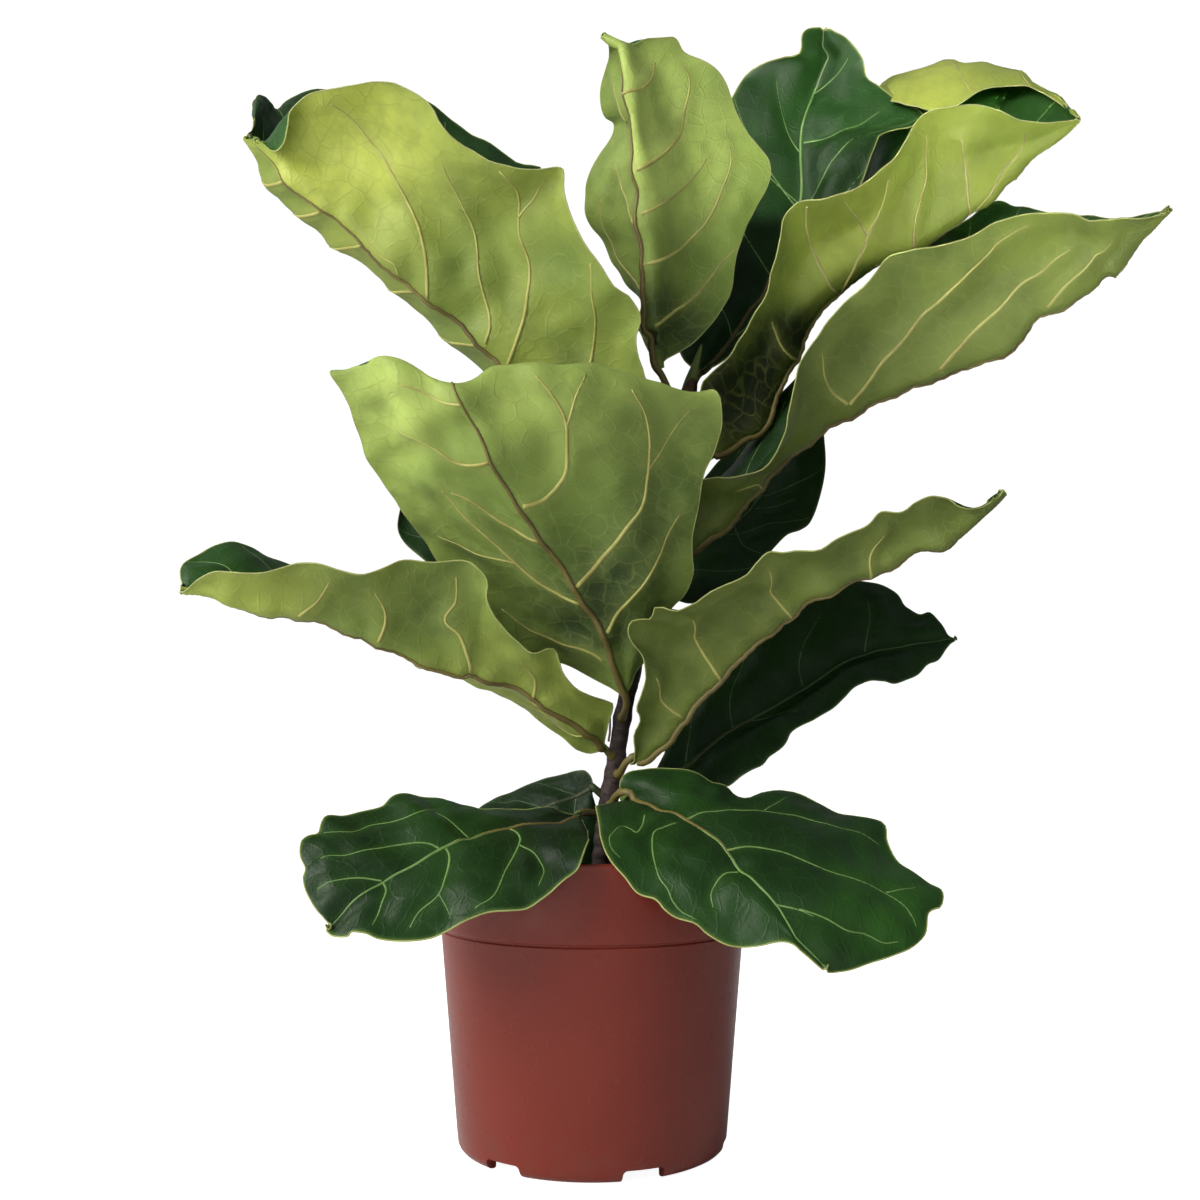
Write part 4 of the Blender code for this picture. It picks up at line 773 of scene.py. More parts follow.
def fine_leaf(name, spec, seed):
    grid, turned = blade(spec, ALONG, ACROSS)
    half = ACROSS // 2
    grid = follow(grid, turned, spec)
    # the blade narrows into its petiole
    neck = spec.get("neck", 0.07) * ALONG
    for i in range(int(neck) + 1):
        f = 0.03 + 0.97 * sin(0.5 * pi * min(1.0, i / neck)) ** 0.8
        centre = grid[i, half].copy()
        grid[i] = centre + (grid[i] - centre) * f
    n = normals_of(grid)
    # small random waves over the blade and its margin
    for i in range(ALONG + 1):
        for j in range(ACROSS + 1):
            p = grid[i, j]
            v = Vector((p[0] / 26.0 + seed * 3.1, p[1] / 26.0, p[2] / 26.0 + seed))
            out = abs(j - half) / half
            grid[i, j] = p + n[i, j] * (noise.noise(v) * 2.2 + noise.noise(v * 1.9 + Vector((9.0, 2.0, 5.0))) * 1.3 + noise.noise(v * 2.6) * 1.1 * out) * spec.get("wave", 1.0)
    flat = on_sheet(grid)
    first = (half, ACROSS) if turned else (0, half)  # where the first line's half of the blade lies
    last = (0, half) if turned else (half, ACROSS)
    sides = {"first": first, "last": last, "any": (0, ACROSS)}
    veins = []
    for where, strength, points in spec.get("veins", ()):
        low, high = sides[where]
        found, hint = [], None
        for column, row in points:
            hint = locate(flat, column, row, low, high, hint)
            found.append(np.array(hint))
        veins.append((strength, smooth_path(found, 6 * len(points))))
    for which, count, start, stop, reach, bend in spec.get("rule", ()):
        for side_name, side in (("first", -1 if not turned else 1), ("last", 1 if not turned else -1)):
            if which not in (side_name, "both"):
                continue
            for k in range(count):
                a = start + (stop - start) * k / max(count - 1, 1)
                b = min(a + reach, 0.985)
                path = mirrored_vein(ACROSS, a * ALONG, b * ALONG, side, bend)
                veins.append((0.9, smooth_path([np.array(q) for q in path], 24)))
    # distance from every point of the blade to the nearest lateral, and the quilting between them
    near = np.full(grid.shape[:2], 99.0)
    for strength, path in veins:
        line = np.array([sample(grid, *q) for q in path])
        for q in line:
            d = np.linalg.norm(grid - q, axis=2)
            near = np.minimum(near, d / max(strength, 0.4) ** 0.5)
    ribline = grid[:, half]
    near_rib = np.full(grid.shape[:2], 99.0)
    for q in ribline[::2]:
        near_rib = np.minimum(near_rib, np.linalg.norm(grid - q, axis=2))
    quilt = spec.get("quilt", 1.0)
    n = normals_of(grid)
    fade = np.minimum(1.0, (1 - np.abs(np.arange(ACROSS + 1) - half) / half) * 3.0)[None, :]
    lift = 1.0 if spec["front"] == "upper" else 1.5
    drop = -1.5 * lift * quilt * np.exp(-((near / 6.5) ** 2)) * fade - 1.7 * quilt * np.exp(-((near_rib / 6.0) ** 2))
    for column, row, radius, height, where in spec.get("puckers", ()):
        low, high = sides[where]
        d2 = (flat[..., 0] - column) ** 2 + (flat[..., 1] - row) ** 2
        bump = height * np.exp(-d2 / radius**2)
        mask = np.zeros(ACROSS + 1)
        mask[low : high + 1] = 1
        drop = drop + bump * mask[None, :]
    grid = grid + n * drop[..., None]
    n = normals_of(grid)
    flat = on_sheet(grid)
    # lengths along and across in centimetres, for the materials' patterns
    down = np.concatenate([np.zeros((1, ACROSS + 1)), np.cumsum(np.linalg.norm(np.diff(grid, axis=0), axis=2), axis=0)])
    wide = np.concatenate([np.zeros((ALONG + 1, 1)), np.cumsum(np.linalg.norm(np.diff(grid, axis=1), axis=2), axis=1)], axis=1)
    wide = wide - wide[:, half : half + 1]
    uv = np.stack([wide * 0.1 + seed * 7.0, down[:, half : half + 1] * 0.1 + wide * 0.0], axis=-1)
    edge = np.minimum(wide - wide[:, :1], wide[:, -1:] - wide)
    edge = np.minimum(edge, (down[-1:, half : half + 1] - down[:, half : half + 1]) + 0.2)
    # painted light and painted shade: each patch brightens (positive) or darkens (negative) the colour around its place
    # on the sheet
    tone = np.zeros(grid.shape[:2])
    for column, row, radius, height, where in spec.get("tones", ()):
        low, high = sides[where]
        d2 = (flat[..., 0] - column) ** 2 + (flat[..., 1] - row) ** 2
        mask = np.zeros(ACROSS + 1)
        mask[low : high + 1] = 1
        tone = tone + height * np.exp(-d2 / radius**2) * mask[None, :]
    tone = np.clip(tone, -1, 1)
    vein = np.exp(-near / 2.6)
    build = Builder()
    t = 0.28
    rows, cols = grid.shape[:2]
    top = grid + n * t
    low_side = grid - n * t
    # both faces are split along the same diagonal, so that neither comes through the other
    faces = [t for q in grid_faces(rows, cols) for t in ((q[0], q[1], q[2]), (q[0], q[2], q[3]))]
    args = dict(edge=edge.ravel(), tone=tone.ravel(), vein=vein.ravel(), flat=uv.reshape(-1, 2))
    build.add(top.reshape(-1, 3), faces, 0, **args)
    build.add(low_side.reshape(-1, 3), [f[::-1] for f in faces], 1, **args)
    # the margin: a fine pale cord all the way round
    border = [grid[i, 0] for i in range(rows)] + [grid[-1, j] for j in range(1, cols)] + [grid[i, -1] for i in range(rows - 2, -1, -1)]
    tube(build, border, [0.42] * len(border), 4, sides=6)
    # laterals: raised cords under the blade, flatter and paler ones on top
    for strength, path in veins:
        pts = np.array([sample(grid, *q) for q in path])
        ups = np.array([unit(sample(n, *q)) for q in path])
        m = len(pts)
        size = [(0.95 * (1 - 0.72 * k / (m - 1)) + 0.12) * strength for k in range(m)]
        tube(build, pts - ups * t, size, 2, sides=8, up=-ups, squash=0.75)
        tube(build, pts + ups * t, [s * 0.62 for s in size], 3, sides=6, up=ups, squash=0.35)
    # petiole and midrib
    centre, axis, radius = stem_at(spec["joint"])
    base = grid[0, half]
    out = base - centre
    out -= axis * np.dot(out, axis)
    out = unit(out)
    start = centre + out * (radius - 1.0)
    ahead = unit(grid[2, half] - grid[0, half])
    reach = np.linalg.norm(base - start)
    petiole = []
    for k in range(10):
        f = k / 10
        a, b, c, d = start, start + out * reach * 0.35, base - ahead * reach * 0.35, base
        petiole.append(a * (1 - f) ** 3 + 3 * b * f * (1 - f) ** 2 + 3 * c * f * f * (1 - f) + d * f**3)
    rib = [grid[i, half] - n[i, half] * (0.9 * (1 - i / ALONG)) for i in range(0, rows)]
    path = petiole + rib
    total = len(path)
    size = []
    for k in range(total):
        if k < 10:
            size.append(1.95 + 1.2 * exp(-k / 1.6))
        else:
            f = (k - 10) / (total - 11)
            size.append(1.75 * (1 - f) ** 1.2 + 0.2 + 0.2 * (1 - f) ** 6)
    tube(build, path, size, 5, sides=12)
    crest = [grid[i, half] + n[i, half] * t for i in range(rows)]
    crest_up = np.array([n[i, half] for i in range(rows)])
    tube(build, crest, [1.15 * (1 - i / ALONG) + 0.25 for i in range(rows)], 3, sides=6, up=crest_up, squash=0.35)
    return build


# ---------------------------------------------------------------- materials
class Nodes:
    """Small helper over a material's node tree."""

    def __init__(self, name):
        self.material = bpy.data.materials.new(name)
        self.material.use_nodes = True
        self.tree = self.material.node_tree
        self.tree.nodes.clear()

    def node(self, kind, **settings):
        made = self.tree.nodes.new(kind)
        for key, value in settings.items():
            if key.startswith("in_"):
                made.inputs[key[3:].replace("_", " ")].default_value = value
            else:
                setattr(made, key, value)
        return made

    def link(self, a, b):
        self.tree.links.new(a, b)

    def math(self, operation, a, b=None, clamp=False):
        made = self.tree.nodes.new("ShaderNodeMath")
        made.operation = operation
        made.use_clamp = clamp
        for socket, value in zip(made.inputs, (a, b)):
            if value is None:
                continue
            if isinstance(value, (int, float)):
                socket.default_value = value
            else:
                self.link(value, socket)
        return made.outputs[0]

    def mix(self, factor, a, b, blend="MIX"):
        made = self.tree.nodes.new("ShaderNodeMix")
        made.data_type = "RGBA"
        made.blend_type = blend
        for socket, value in ((made.inputs[0], factor), (made.inputs[6], a), (made.inputs[7], b)):
            if isinstance(value, (int, float)):
                socket.default_value = value
            elif isinstance(value, tuple):
                socket.default_value = (*value, 1.0)
            else:
                self.link(value, socket)
        return made.outputs[2]

    def ramp(self, value, low, high, out_low=0.0, out_high=1.0):
        made = self.tree.nodes.new("ShaderNodeMapRange")
        made.interpolation_type = "SMOOTHSTEP"
        made.inputs["From Min"].default_value = low
        made.inputs["From Max"].default_value = high
        made.inputs["To Min"].default_value = out_low
        made.inputs["To Max"].default_value = out_high
        self.link(value, made.inputs["Value"])
        return made.outputs["Result"]

    def attribute(self, name):
        made = self.tree.nodes.new("ShaderNodeAttribute")
        made.attribute_name = name
        return made.outputs["Fac"]

    def noise(self, vector, scale, detail=3.0, rough=0.55):
        made = self.tree.nodes.new("ShaderNodeTexNoise")
        made.inputs["Scale"].default_value = scale
        made.inputs["Detail"].default_value = detail
        made.inputs["Roughness"].default_value = rough
        self.link(vector, made.inputs["Vector"])
        return made.outputs["Fac"]

    def cracks(self, vector, scale):
        """Distance to the nearest cell wall of a Voronoi net: the fine net of veins."""
        made = self.tree.nodes.new("ShaderNodeTexVoronoi")
        made.feature = "DISTANCE_TO_EDGE"
        made.inputs["Scale"].default_value = scale
        made.inputs["Randomness"].default_value = 0.85
        self.link(vector, made.inputs["Vector"])
        return made.outputs["Distance"]


def srgb(r, g, b):
    return tuple(((c / 255.0) / 12.92 if c / 255.0 <= 0.04045 else ((c / 255.0 + 0.055) / 1.055) ** 2.4) for c in (r, g, b))


def leaf_face(name, base, warm_and_lit, dark, line, rough, through, through_colour, net, coat=0.0, dust=0.0, rim=None, shine=0.4):
    """One face of a leaf: mottled colour, painted light and painted shade from a per-vertex patch value, paler halos
    along the veins, the fine vein net in colour and relief, and light passing through.
    """
    k = Nodes(name)
    coords = k.node("ShaderNodeUVMap", uv_map="flat").outputs[0]
    place = k.node("ShaderNodeTexCoord").outputs["Object"]
    tone = k.attribute("tone")
    vein = k.attribute("vein")
    edge = k.attribute("edge")
    mottle = k.noise(place, 38.0, 4.0, 0.6)
    broad = k.noise(place, 9.0, 2.0, 0.5)
    # the warm colour serves both random broad variation and painted light where the patch value is positive; the dark
    # colour below serves both random mottle and painted shade where it is negative
    warmth_and_light = k.math("ADD", k.ramp(broad, 0.35, 0.7, 0.0, 0.5), k.ramp(tone, 0.0, 1.0, 0.0, 1.0), clamp=True)
    colour = k.mix(warmth_and_light, base, warm_and_lit)
    colour = k.mix(k.math("ADD", k.ramp(mottle, 0.42, 0.72, 0.0, 0.32), k.ramp(tone, 0.0, -1.0, 0.0, 1.0), clamp=True), colour, dark)
    wobble = k.node("ShaderNodeVectorMath", operation="ADD")
    k.link(coords, wobble.inputs[0])
    warp = k.node("ShaderNodeTexNoise", in_Scale=1.3, in_Detail=2.0)
    k.link(coords, warp.inputs["Vector"])
    shrink = k.node("ShaderNodeVectorMath", operation="SCALE")
    k.link(warp.outputs["Color"], shrink.inputs[0])
    shrink.inputs["Scale"].default_value = 0.35
    k.link(shrink.outputs[0], wobble.inputs[1])
    coarse = k.ramp(k.cracks(wobble.outputs[0], 0.95), 0.0, 0.075, 1.0, 0.0)
    fine = k.ramp(k.cracks(wobble.outputs[0], 3.4), 0.0, 0.11, 1.0, 0.0)
    lines = k.math("ADD", k.math("MULTIPLY", coarse, net), k.math("MULTIPLY", fine, net * 0.45), clamp=True)
    colour = k.mix(lines, colour, line)
    colour = k.mix(k.math("MULTIPLY", vein, 0.5 if net > 0.1 else 0.4), colour, line)
    if rim:
        colour = k.mix(k.ramp(edge, 2.4, 0.2, 0.0, 0.55), colour, rim)
    rough_value = k.math("ADD", k.ramp(mottle, 0.3, 0.8, rough - 0.05, rough + 0.09), k.math("MULTIPLY", lines, 0.12))
    height = k.math("ADD", k.math("MULTIPLY", coarse, 0.55), k.math("MULTIPLY", fine, 0.22))
    height = k.math("ADD", height, k.math("MULTIPLY", k.noise(place, 160.0, 2.0), 0.35))
    bump = k.node("ShaderNodeBump", in_Strength=0.34, in_Distance=0.0006)
    k.link(height, bump.inputs["Height"])
    shader = k.node("ShaderNodeBsdfPrincipled")
    k.link(colour, shader.inputs["Base Color"])
    k.link(rough_value, shader.inputs["Roughness"])
    k.link(bump.outputs[0], shader.inputs["Normal"])
    shader.inputs["Coat Weight"].default_value = coat
    shader.inputs["Coat Roughness"].default_value = 0.28
    shader.inputs["Specular IOR Level"].default_value = shine
    shader.inputs["Sheen Weight"].default_value = dust
    shader.inputs["Sheen Roughness"].default_value = 0.6
    glow = k.node("ShaderNodeBsdfTranslucent")
    k.link(k.mix(0.65, colour, through_colour), glow.inputs["Color"])
    k.link(bump.outputs[0], glow.inputs["Normal"])
    blend = k.node("ShaderNodeMixShader", in_Fac=through)
    k.link(shader.outputs[0], blend.inputs[1])
    k.link(glow.outputs[0], blend.inputs[2])
    end = k.node("ShaderNodeOutputMaterial")
    k.link(blend.outputs[0], end.inputs[0])
    return k.material


def cord_look(name, a, b, rough, scale=60.0):
    """Veins, ribs, petioles and margins: two colours in streaks with a fine grain."""
    k = Nodes(name)
    place = k.node("ShaderNodeTexCoord").outputs["Object"]
    grain = k.noise(place, scale, 4.0, 0.6)
    fine = k.noise(place, scale * 9.0, 3.0, 0.6)
    colour = k.mix(k.ramp(grain, 0.35, 0.7), a, b)
    bump = k.node("ShaderNodeBump", in_Strength=0.4, in_Distance=0.0004)
    k.link(fine, bump.inputs["Height"])
    shader = k.node("ShaderNodeBsdfPrincipled")
    k.link(colour, shader.inputs["Base Color"])
    k.link(k.ramp(fine, 0.3, 0.8, rough - 0.06, rough + 0.1), shader.inputs["Roughness"])
    k.link(bump.outputs[0], shader.inputs["Normal"])
    end = k.node("ShaderNodeOutputMaterial")
    k.link(shader.outputs[0], end.inputs[0])
    return k.material

# ---------------------------------------------------------------- looks
UNDER = {
    "under_fresh": leaf_face("under_fresh", srgb(138, 164, 72), srgb(208, 232, 118), srgb(58, 80, 34), srgb(176, 190, 104), 0.50, 0.28, srgb(150, 190, 40), 0.22, dust=0.08),
    "under_olive": leaf_face("under_olive", srgb(138, 162, 72), srgb(214, 226, 98), srgb(78, 104, 46), srgb(168, 178, 92), 0.50, 0.28, srgb(150, 180, 40), 0.22, dust=0.08),
    # the underside of the top right leaf: its near-black dark colour, laid on by the negative patches, is painted
    # shadow cast by the leaves behind it; the glow is light passing through the blade
    "under_glow": leaf_face("under_glow", srgb(160, 180, 74), srgb(216, 228, 100), srgb(24, 32, 14), srgb(184, 194, 96), 0.50, 0.50, srgb(214, 232, 70), 0.22, dust=0.06),
    "under_grey": leaf_face("under_grey", srgb(118, 135, 58), srgb(146, 164, 66), srgb(56, 70, 32), srgb(150, 162, 84), 0.50, 0.24, srgb(120, 160, 36), 0.20, dust=0.06),
    "under_dark": leaf_face("under_dark", srgb(104, 132, 62), srgb(130, 156, 68), srgb(66, 92, 48), srgb(134, 152, 78), 0.48, 0.18, srgb(90, 140, 40), 0.20, dust=0.06),
}
# upper faces: one for the leaves in the light and a darker copy of the same face for the leaves set back in shade,
# which is painted shade
UPPER = {
    "upper_lit": leaf_face("upper_lit", srgb(26, 56, 20), srgb(50, 98, 32), srgb(14, 33, 13), srgb(56, 94, 36), 0.46, 0.12, srgb(60, 150, 30), 0.10, coat=0.0, rim=srgb(90, 120, 52), shine=0.3),
    "upper_shaded": leaf_face("upper_shaded", srgb(22, 48, 18), srgb(32, 62, 24), srgb(12, 29, 12), srgb(44, 72, 32), 0.46, 0.05, srgb(50, 120, 30), 0.10, coat=0.0, rim=srgb(58, 82, 38), shine=0.24),
}
# the darker copies of the upper veins, margin and midrib below are for the leaves set in shade: painted shade
VEIN_UNDER = cord_look("vein_under", srgb(186, 186, 104), srgb(160, 152, 78), 0.5)
VEIN_UNDER_DULL = cord_look("vein_under_dull", srgb(150, 152, 84), srgb(126, 118, 66), 0.5)
VEIN_UPPER = cord_look("vein_upper", srgb(124, 158, 88), srgb(98, 134, 70), 0.42)
VEIN_UPPER_SHADED = cord_look("vein_upper_shaded", srgb(66, 96, 56), srgb(50, 78, 46), 0.42)
MARGIN = cord_look("leaf_margin", srgb(176, 184, 112), srgb(150, 152, 84), 0.5)
MARGIN_SHADED = cord_look("leaf_margin_shaded", srgb(92, 112, 64), srgb(70, 84, 48), 0.5)
RIB = cord_look("midrib", srgb(122, 110, 56), srgb(98, 84, 44), 0.5, 34.0)
RIB_SHADED = cord_look("midrib_shaded", srgb(60, 72, 38), srgb(60, 66, 38), 0.5, 34.0)

order = list(LEAVES)
for index, name in enumerate(order):
    spec = dict(LEAVES[name])
    spec.update(DETAILS.get(name, {}))
    built = fine_leaf(name, spec, index + 1)
    # a leaf flagged here sits behind the others in shade and gets the darker copies of its upper face, veins, margin
    # and midrib: painted shade
    dark = spec.get("dark", False)
    mats = [
        UPPER["upper_shaded" if dark else "upper_lit"],
        UNDER[spec.get("under", "under_dark")],
        VEIN_UNDER_DULL if spec["front"] == "upper" else VEIN_UNDER,
        VEIN_UPPER_SHADED if dark else VEIN_UPPER,
        MARGIN_SHADED if dark else MARGIN,
        RIB_SHADED if dark else RIB,
    ]
    leaf = built.build(name + "_fine", mats)
    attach(leaf, "root")
    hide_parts(name)

# stem: a tapering trunk with swollen joints, leaf scars and stipule lines
build = Builder()
path, radii = [], []
joints = [LEAVES[n]["joint"] for n in order]
STEPS = 150
for k in range(STEPS + 1):
    f = k / STEPS * 0.995
    centre, axis, radius = stem_at(f)
    swell = sum(0.75 * exp(-(((f - j) / 0.012) ** 2)) for j in joints + [0.13, 0.17, 0.20])
    path.append(centre)
    radii.append(radius - 0.55 + min(swell, 1.0))
sides = 28
way = np.gradient(np.array(path), axis=0)
way /= np.linalg.norm(way, axis=1)[:, None]
pts = []
for k in range(len(path)):
    side = unit(np.cross(way[k], np.array((0.0, 1.0, 0.0))))
    other = unit(np.cross(side, way[k]))
    for s in range(sides):
        a = 2 * pi * s / sides
        d = side * cos(a) + other * sin(a)
        p = np.array(path[k])
        rough = noise.noise(Vector((d[0] * 1.6, d[1] * 1.6, p[2] / 5.0))) * 0.35 + noise.noise(Vector((d[0] * 5, d[1] * 5, p[2] / 1.6))) * 0.22
        pts.append(p + d * (radii[k] + rough))
faces = grid_faces(len(path), sides, True)
faces.append(tuple(range(sides))[::-1])
faces.append(tuple((len(path) - 1) * sides + s for s in range(sides)))
build.add(pts, faces, 0)


def bark_look():
    k = Nodes("stem_bark_fine")
    place = k.node("ShaderNodeTexCoord").outputs["Object"]
    stretch = k.node("ShaderNodeMapping")
    k.link(place, stretch.inputs["Vector"])
    stretch.inputs["Scale"].default_value = (1.0, 1.0, 2.6)
    grain = k.noise(stretch.outputs[0], 120.0, 5.0, 0.65)
    fine = k.noise(stretch.outputs[0], 520.0, 4.0, 0.6)
    broad = k.noise(place, 30.0, 3.0, 0.6)
    colour = k.mix(k.ramp(grain, 0.35, 0.7), srgb(40, 30, 32), srgb(84, 66, 62))
    colour = k.mix(k.ramp(broad, 0.5, 0.75, 0.0, 0.6), colour, srgb(64, 62, 40))
    bump = k.node("ShaderNodeBump", in_Strength=0.8, in_Distance=0.0012)
    k.link(k.math("ADD", grain, k.math("MULTIPLY", fine, 0.4)), bump.inputs["Height"])
    shader = k.node("ShaderNodeBsdfPrincipled")
    k.link(colour, shader.inputs["Base Color"])
    k.link(k.ramp(fine, 0.3, 0.8, 0.6, 0.85), shader.inputs["Roughness"])
    k.link(bump.outputs[0], shader.inputs["Normal"])
    end = k.node("ShaderNodeOutputMaterial")
    k.link(shader.outputs[0], end.inputs[0])
    return k.material


stem = build.build("stem_fine", [bark_look()])
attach(stem, "root")
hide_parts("stem")

# husks: the terminal bud's overlapping sheaths and the dry stipules
HUSK = cord_look("husk_brown", srgb(112, 78, 50), srgb(66, 44, 32), 0.7, 90.0)
GREEN_BUD = cord_look("bud_green", srgb(110, 128, 62), srgb(84, 96, 50), 0.5, 50.0)
build = Builder()
centre, axis, radius = stem_at(1.0)
start = centre + axis * 0.2
side = unit(np.cross(axis, np.array((0.0, 1.0, 0.0))))
other = unit(np.cross(axis, side))
for layer, (length, width, turn, mat) in enumerate(((33.0, 4.0, 0.0, 1), (26.0, 4.3, 2.2, 0), (19.0, 4.6, 4.3, 0))):
    pts, rows, cols = [], 16, 14
    for r in range(rows):
        f = r / (rows - 1)
        spread = width * (1 - f) ** 0.55 * (0.86 + 0.25 * sin(pi * min(f * 1.6, 1))) + 0.15
        for s in range(cols):
            a = turn + 2 * pi * s / cols
            crease = 1 + 0.05 * cos(3 * a + layer)
            p = start + axis * length * f + (side * cos(a) + other * sin(a)) * spread * crease + np.array((0.6, -0.3, 0.0)) * f * 5
            pts.append(p)
    faces = grid_faces(rows, cols, True) + [tuple(range(cols))[::-1], tuple((rows - 1) * cols + s for s in range(cols))]
    build.add(pts, faces, mat)
bud = build.build("terminal_bud_fine", [HUSK, GREEN_BUD])
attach(bud, "root")
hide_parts("terminal_bud")

for name, place, bearing, length in (("stipule_low", 0.40, 178.0, 22.0), ("stipule_high", 0.50, 60.0, 22.0)):
    build = Builder()
    centre, axis, radius = stem_at(place)
    out = np.array((cos(radians(bearing)), sin(radians(bearing)), 0.0))
    out = unit(out - axis * np.dot(out, axis))
    side = unit(np.cross(axis, out))
    rows, cols = 26, 11
    for sheet, lift in ((0, 0.12), (1, -0.12)):
        pts = []
        for r in range(rows):
            f = r / (rows - 1)
            width = 3.3 * (sin(pi * (0.12 + 0.88 * f)) ** 0.8) * (1 - 0.25 * f) + 0.1
            stand = radius + 0.5 + 0.4 + 3.4 * f**2.2
            for s in range(cols):
                w = -1 + 2 * s / (cols - 1)
                ripple = 0.22 * noise.noise(Vector((w * 2, f * 7, bearing)))
                p = centre + axis * length * f + out * (stand - 1.0 * w * w * (1 - 0.4 * f) + lift + ripple) + side * width * w
                pts.append(p)
        faces = grid_faces(rows, cols)
        build.add(pts, faces if sheet == 0 else [q[::-1] for q in faces], 0)
    rim = [build.verts[i] for i in [r * cols for r in range(rows)] + [(rows - 1) * cols + s for s in range(1, cols)] + [r * cols + cols - 1 for r in range(rows - 2, -1, -1)]]
    tube(build, rim, [0.16] * len(rim), 0, sides=5)
    scale = build.build(name + "_fine", [HUSK])
    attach(scale, "root")
    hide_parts(name)

# potting mix: an uneven crumbly top with bits of bark and perlite, and a plain body below it
build = Builder()
R_TOP = STEP_R + (RIM_R - STEP_R) * (SOIL_Z - STEP_Z) / (RIM_Z - STEP_Z) - WALL - 0.35
rings, spokes = ((60, 150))
pts = []
for r in range(rings):
    rr = R_TOP * (r + 0.5) / rings if r < rings - 1 else R_TOP
    for s in range(spokes):
        a = 2 * pi * s / spokes
        x, y = cos(a) * rr, sin(a) * rr
        h = noise.noise(Vector((x / 16, y / 16, 3.0))) * 2.6 + noise.noise(Vector((x / 5, y / 5, 9.0))) * 1.7 + noise.noise(Vector((x / 1.9, y / 1.9, 5.0))) * 0.9
        h *= min(1.0, (R_TOP - rr) / 6.0 + 0.15)
        pts.append((x, y, SOIL_Z + 0.4 + h))
faces = grid_faces(rings, spokes, True)
faces.append(tuple(range(spokes))[::-1])
top_count = len(pts)
low = [(cos(2 * pi * s / spokes) * (R_TOP - 3.0), sin(2 * pi * s / spokes) * (R_TOP - 3.0), 100.0) for s in range(spokes)]
pts += low
base = (rings - 1) * spokes
for s in range(spokes):
    t = (s + 1) % spokes
    faces.append((base + s, base + t, top_count + t, top_count + s))
faces.append(tuple(top_count + s for s in range(spokes)))
build.add(pts, faces, 0)
rng = np.random.default_rng(11)
for n in range(420):
    a, rr = rng.uniform(0, 2 * pi), R_TOP * rng.uniform(0.02, 0.93) ** 0.5
    x, y = cos(a) * rr * 0.97, sin(a) * rr * 0.97
    size = rng.uniform(0.8, 2.6)
    white = rng.uniform() < 0.13
    stretch = rng.uniform(0.5, 1.0, 3) if white else rng.uniform(0.25, 1.4, 3)
    q = []
    for dx, dy, dz in ((-1, -1, -1), (1, -1, -1), (1, 1, -1), (-1, 1, -1), (-1, -1, 1), (1, -1, 1), (1, 1, 1), (-1, 1, 1)):
        jitter = rng.uniform(0.6, 1.0, 3)
        q.append(np.array((dx, dy, dz)) * stretch * jitter * size * 0.6)
    turn = rng.uniform(0, 2 * pi)
    tilt = rng.uniform(-0.5, 0.5)
    c, s2 = cos(turn), sin(turn)
    q = [np.array((p[0] * c - p[1] * s2, p[0] * s2 + p[1] * c, p[2] + p[0] * tilt)) + np.array((x, y, SOIL_Z + 0.9 + rng.uniform(-0.3, 0.8))) for p in q]
    build.add(q, [(0, 3, 2, 1), (4, 5, 6, 7), (0, 1, 5, 4), (1, 2, 6, 5), (2, 3, 7, 6), (3, 0, 4, 7)], 1 if white else 2)


def soil_look():
    k = Nodes("potting_mix")
    place = k.node("ShaderNodeTexCoord").outputs["Object"]
    grain = k.noise(place, 260.0, 6.0, 0.7)
    broad = k.noise(place, 45.0, 4.0, 0.6)
    colour = k.mix(k.ramp(grain, 0.35, 0.68), srgb(22, 17, 14), srgb(66, 50, 38))
    colour = k.mix(k.ramp(broad, 0.45, 0.75, 0.0, 0.6), colour, srgb(34, 26, 20))
    bump = k.node("ShaderNodeBump", in_Strength=1.0, in_Distance=0.0015)
    k.link(grain, bump.inputs["Height"])
    shader = k.node("ShaderNodeBsdfPrincipled")
    k.link(colour, shader.inputs["Base Color"])
    shader.inputs["Roughness"].default_value = 0.95
    k.link(bump.outputs[0], shader.inputs["Normal"])
    end = k.node("ShaderNodeOutputMaterial")
    k.link(shader.outputs[0], end.inputs[0])
    return k.material


PERLITE = cord_look("perlite", srgb(214, 208, 196), srgb(170, 162, 150), 0.9, 400.0)
CHIPS = cord_look("bark_chips", srgb(86, 58, 38), srgb(46, 32, 24), 0.9, 200.0)
soil = build.build("soil_fine", [soil_look(), PERLITE, CHIPS])
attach(soil, "root")
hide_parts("soil")

# pot: the moulded wall with its lip, step line, rounded corner and notched foot, turned finely with bevelled edges
POT_STEPS = 180
profile = []


def add(r, z):
    profile.append((r, z))


def inner_r(z):
    outer = FOOT_R + (WALL_R - FOOT_R) * z / STEP_Z if z < STEP_Z else STEP_R + (RIM_R - STEP_R) * (z - STEP_Z) / (RIM_Z - STEP_Z)
    return outer - WALL


for z in (9.0,):
    add(0.0, z)
    add(inner_r(z) - 3.0, z)
add(inner_r(12.0) - 0.6, 10.2)
add(inner_r(12.0), 12.5)
for f in (0.2, 0.4, 0.6, 0.8, 0.97):
    add(inner_r(STEP_Z * f), STEP_Z * f)
add(inner_r(STEP_Z - 1.0) - 0.1, STEP_Z - 0.6)
add(inner_r(STEP_Z + 1.2) - 0.1, STEP_Z + 1.2)
add(RIM_R - WALL - 0.9, RIM_Z - 18.0)
add(RIM_R - WALL - 0.2, RIM_Z - 3.0)
for a in (180, 150, 120, 90, 60, 30, 0):
    add(RIM_R - 0.85 + 0.85 * cos(radians(a)), RIM_Z - 0.85 + 0.85 * sin(radians(a)))
add(RIM_R - 0.05, RIM_Z - 2.2)
add(RIM_R - 0.45, RIM_Z - 2.8)
add(RIM_R - 0.55, RIM_Z - 3.6)
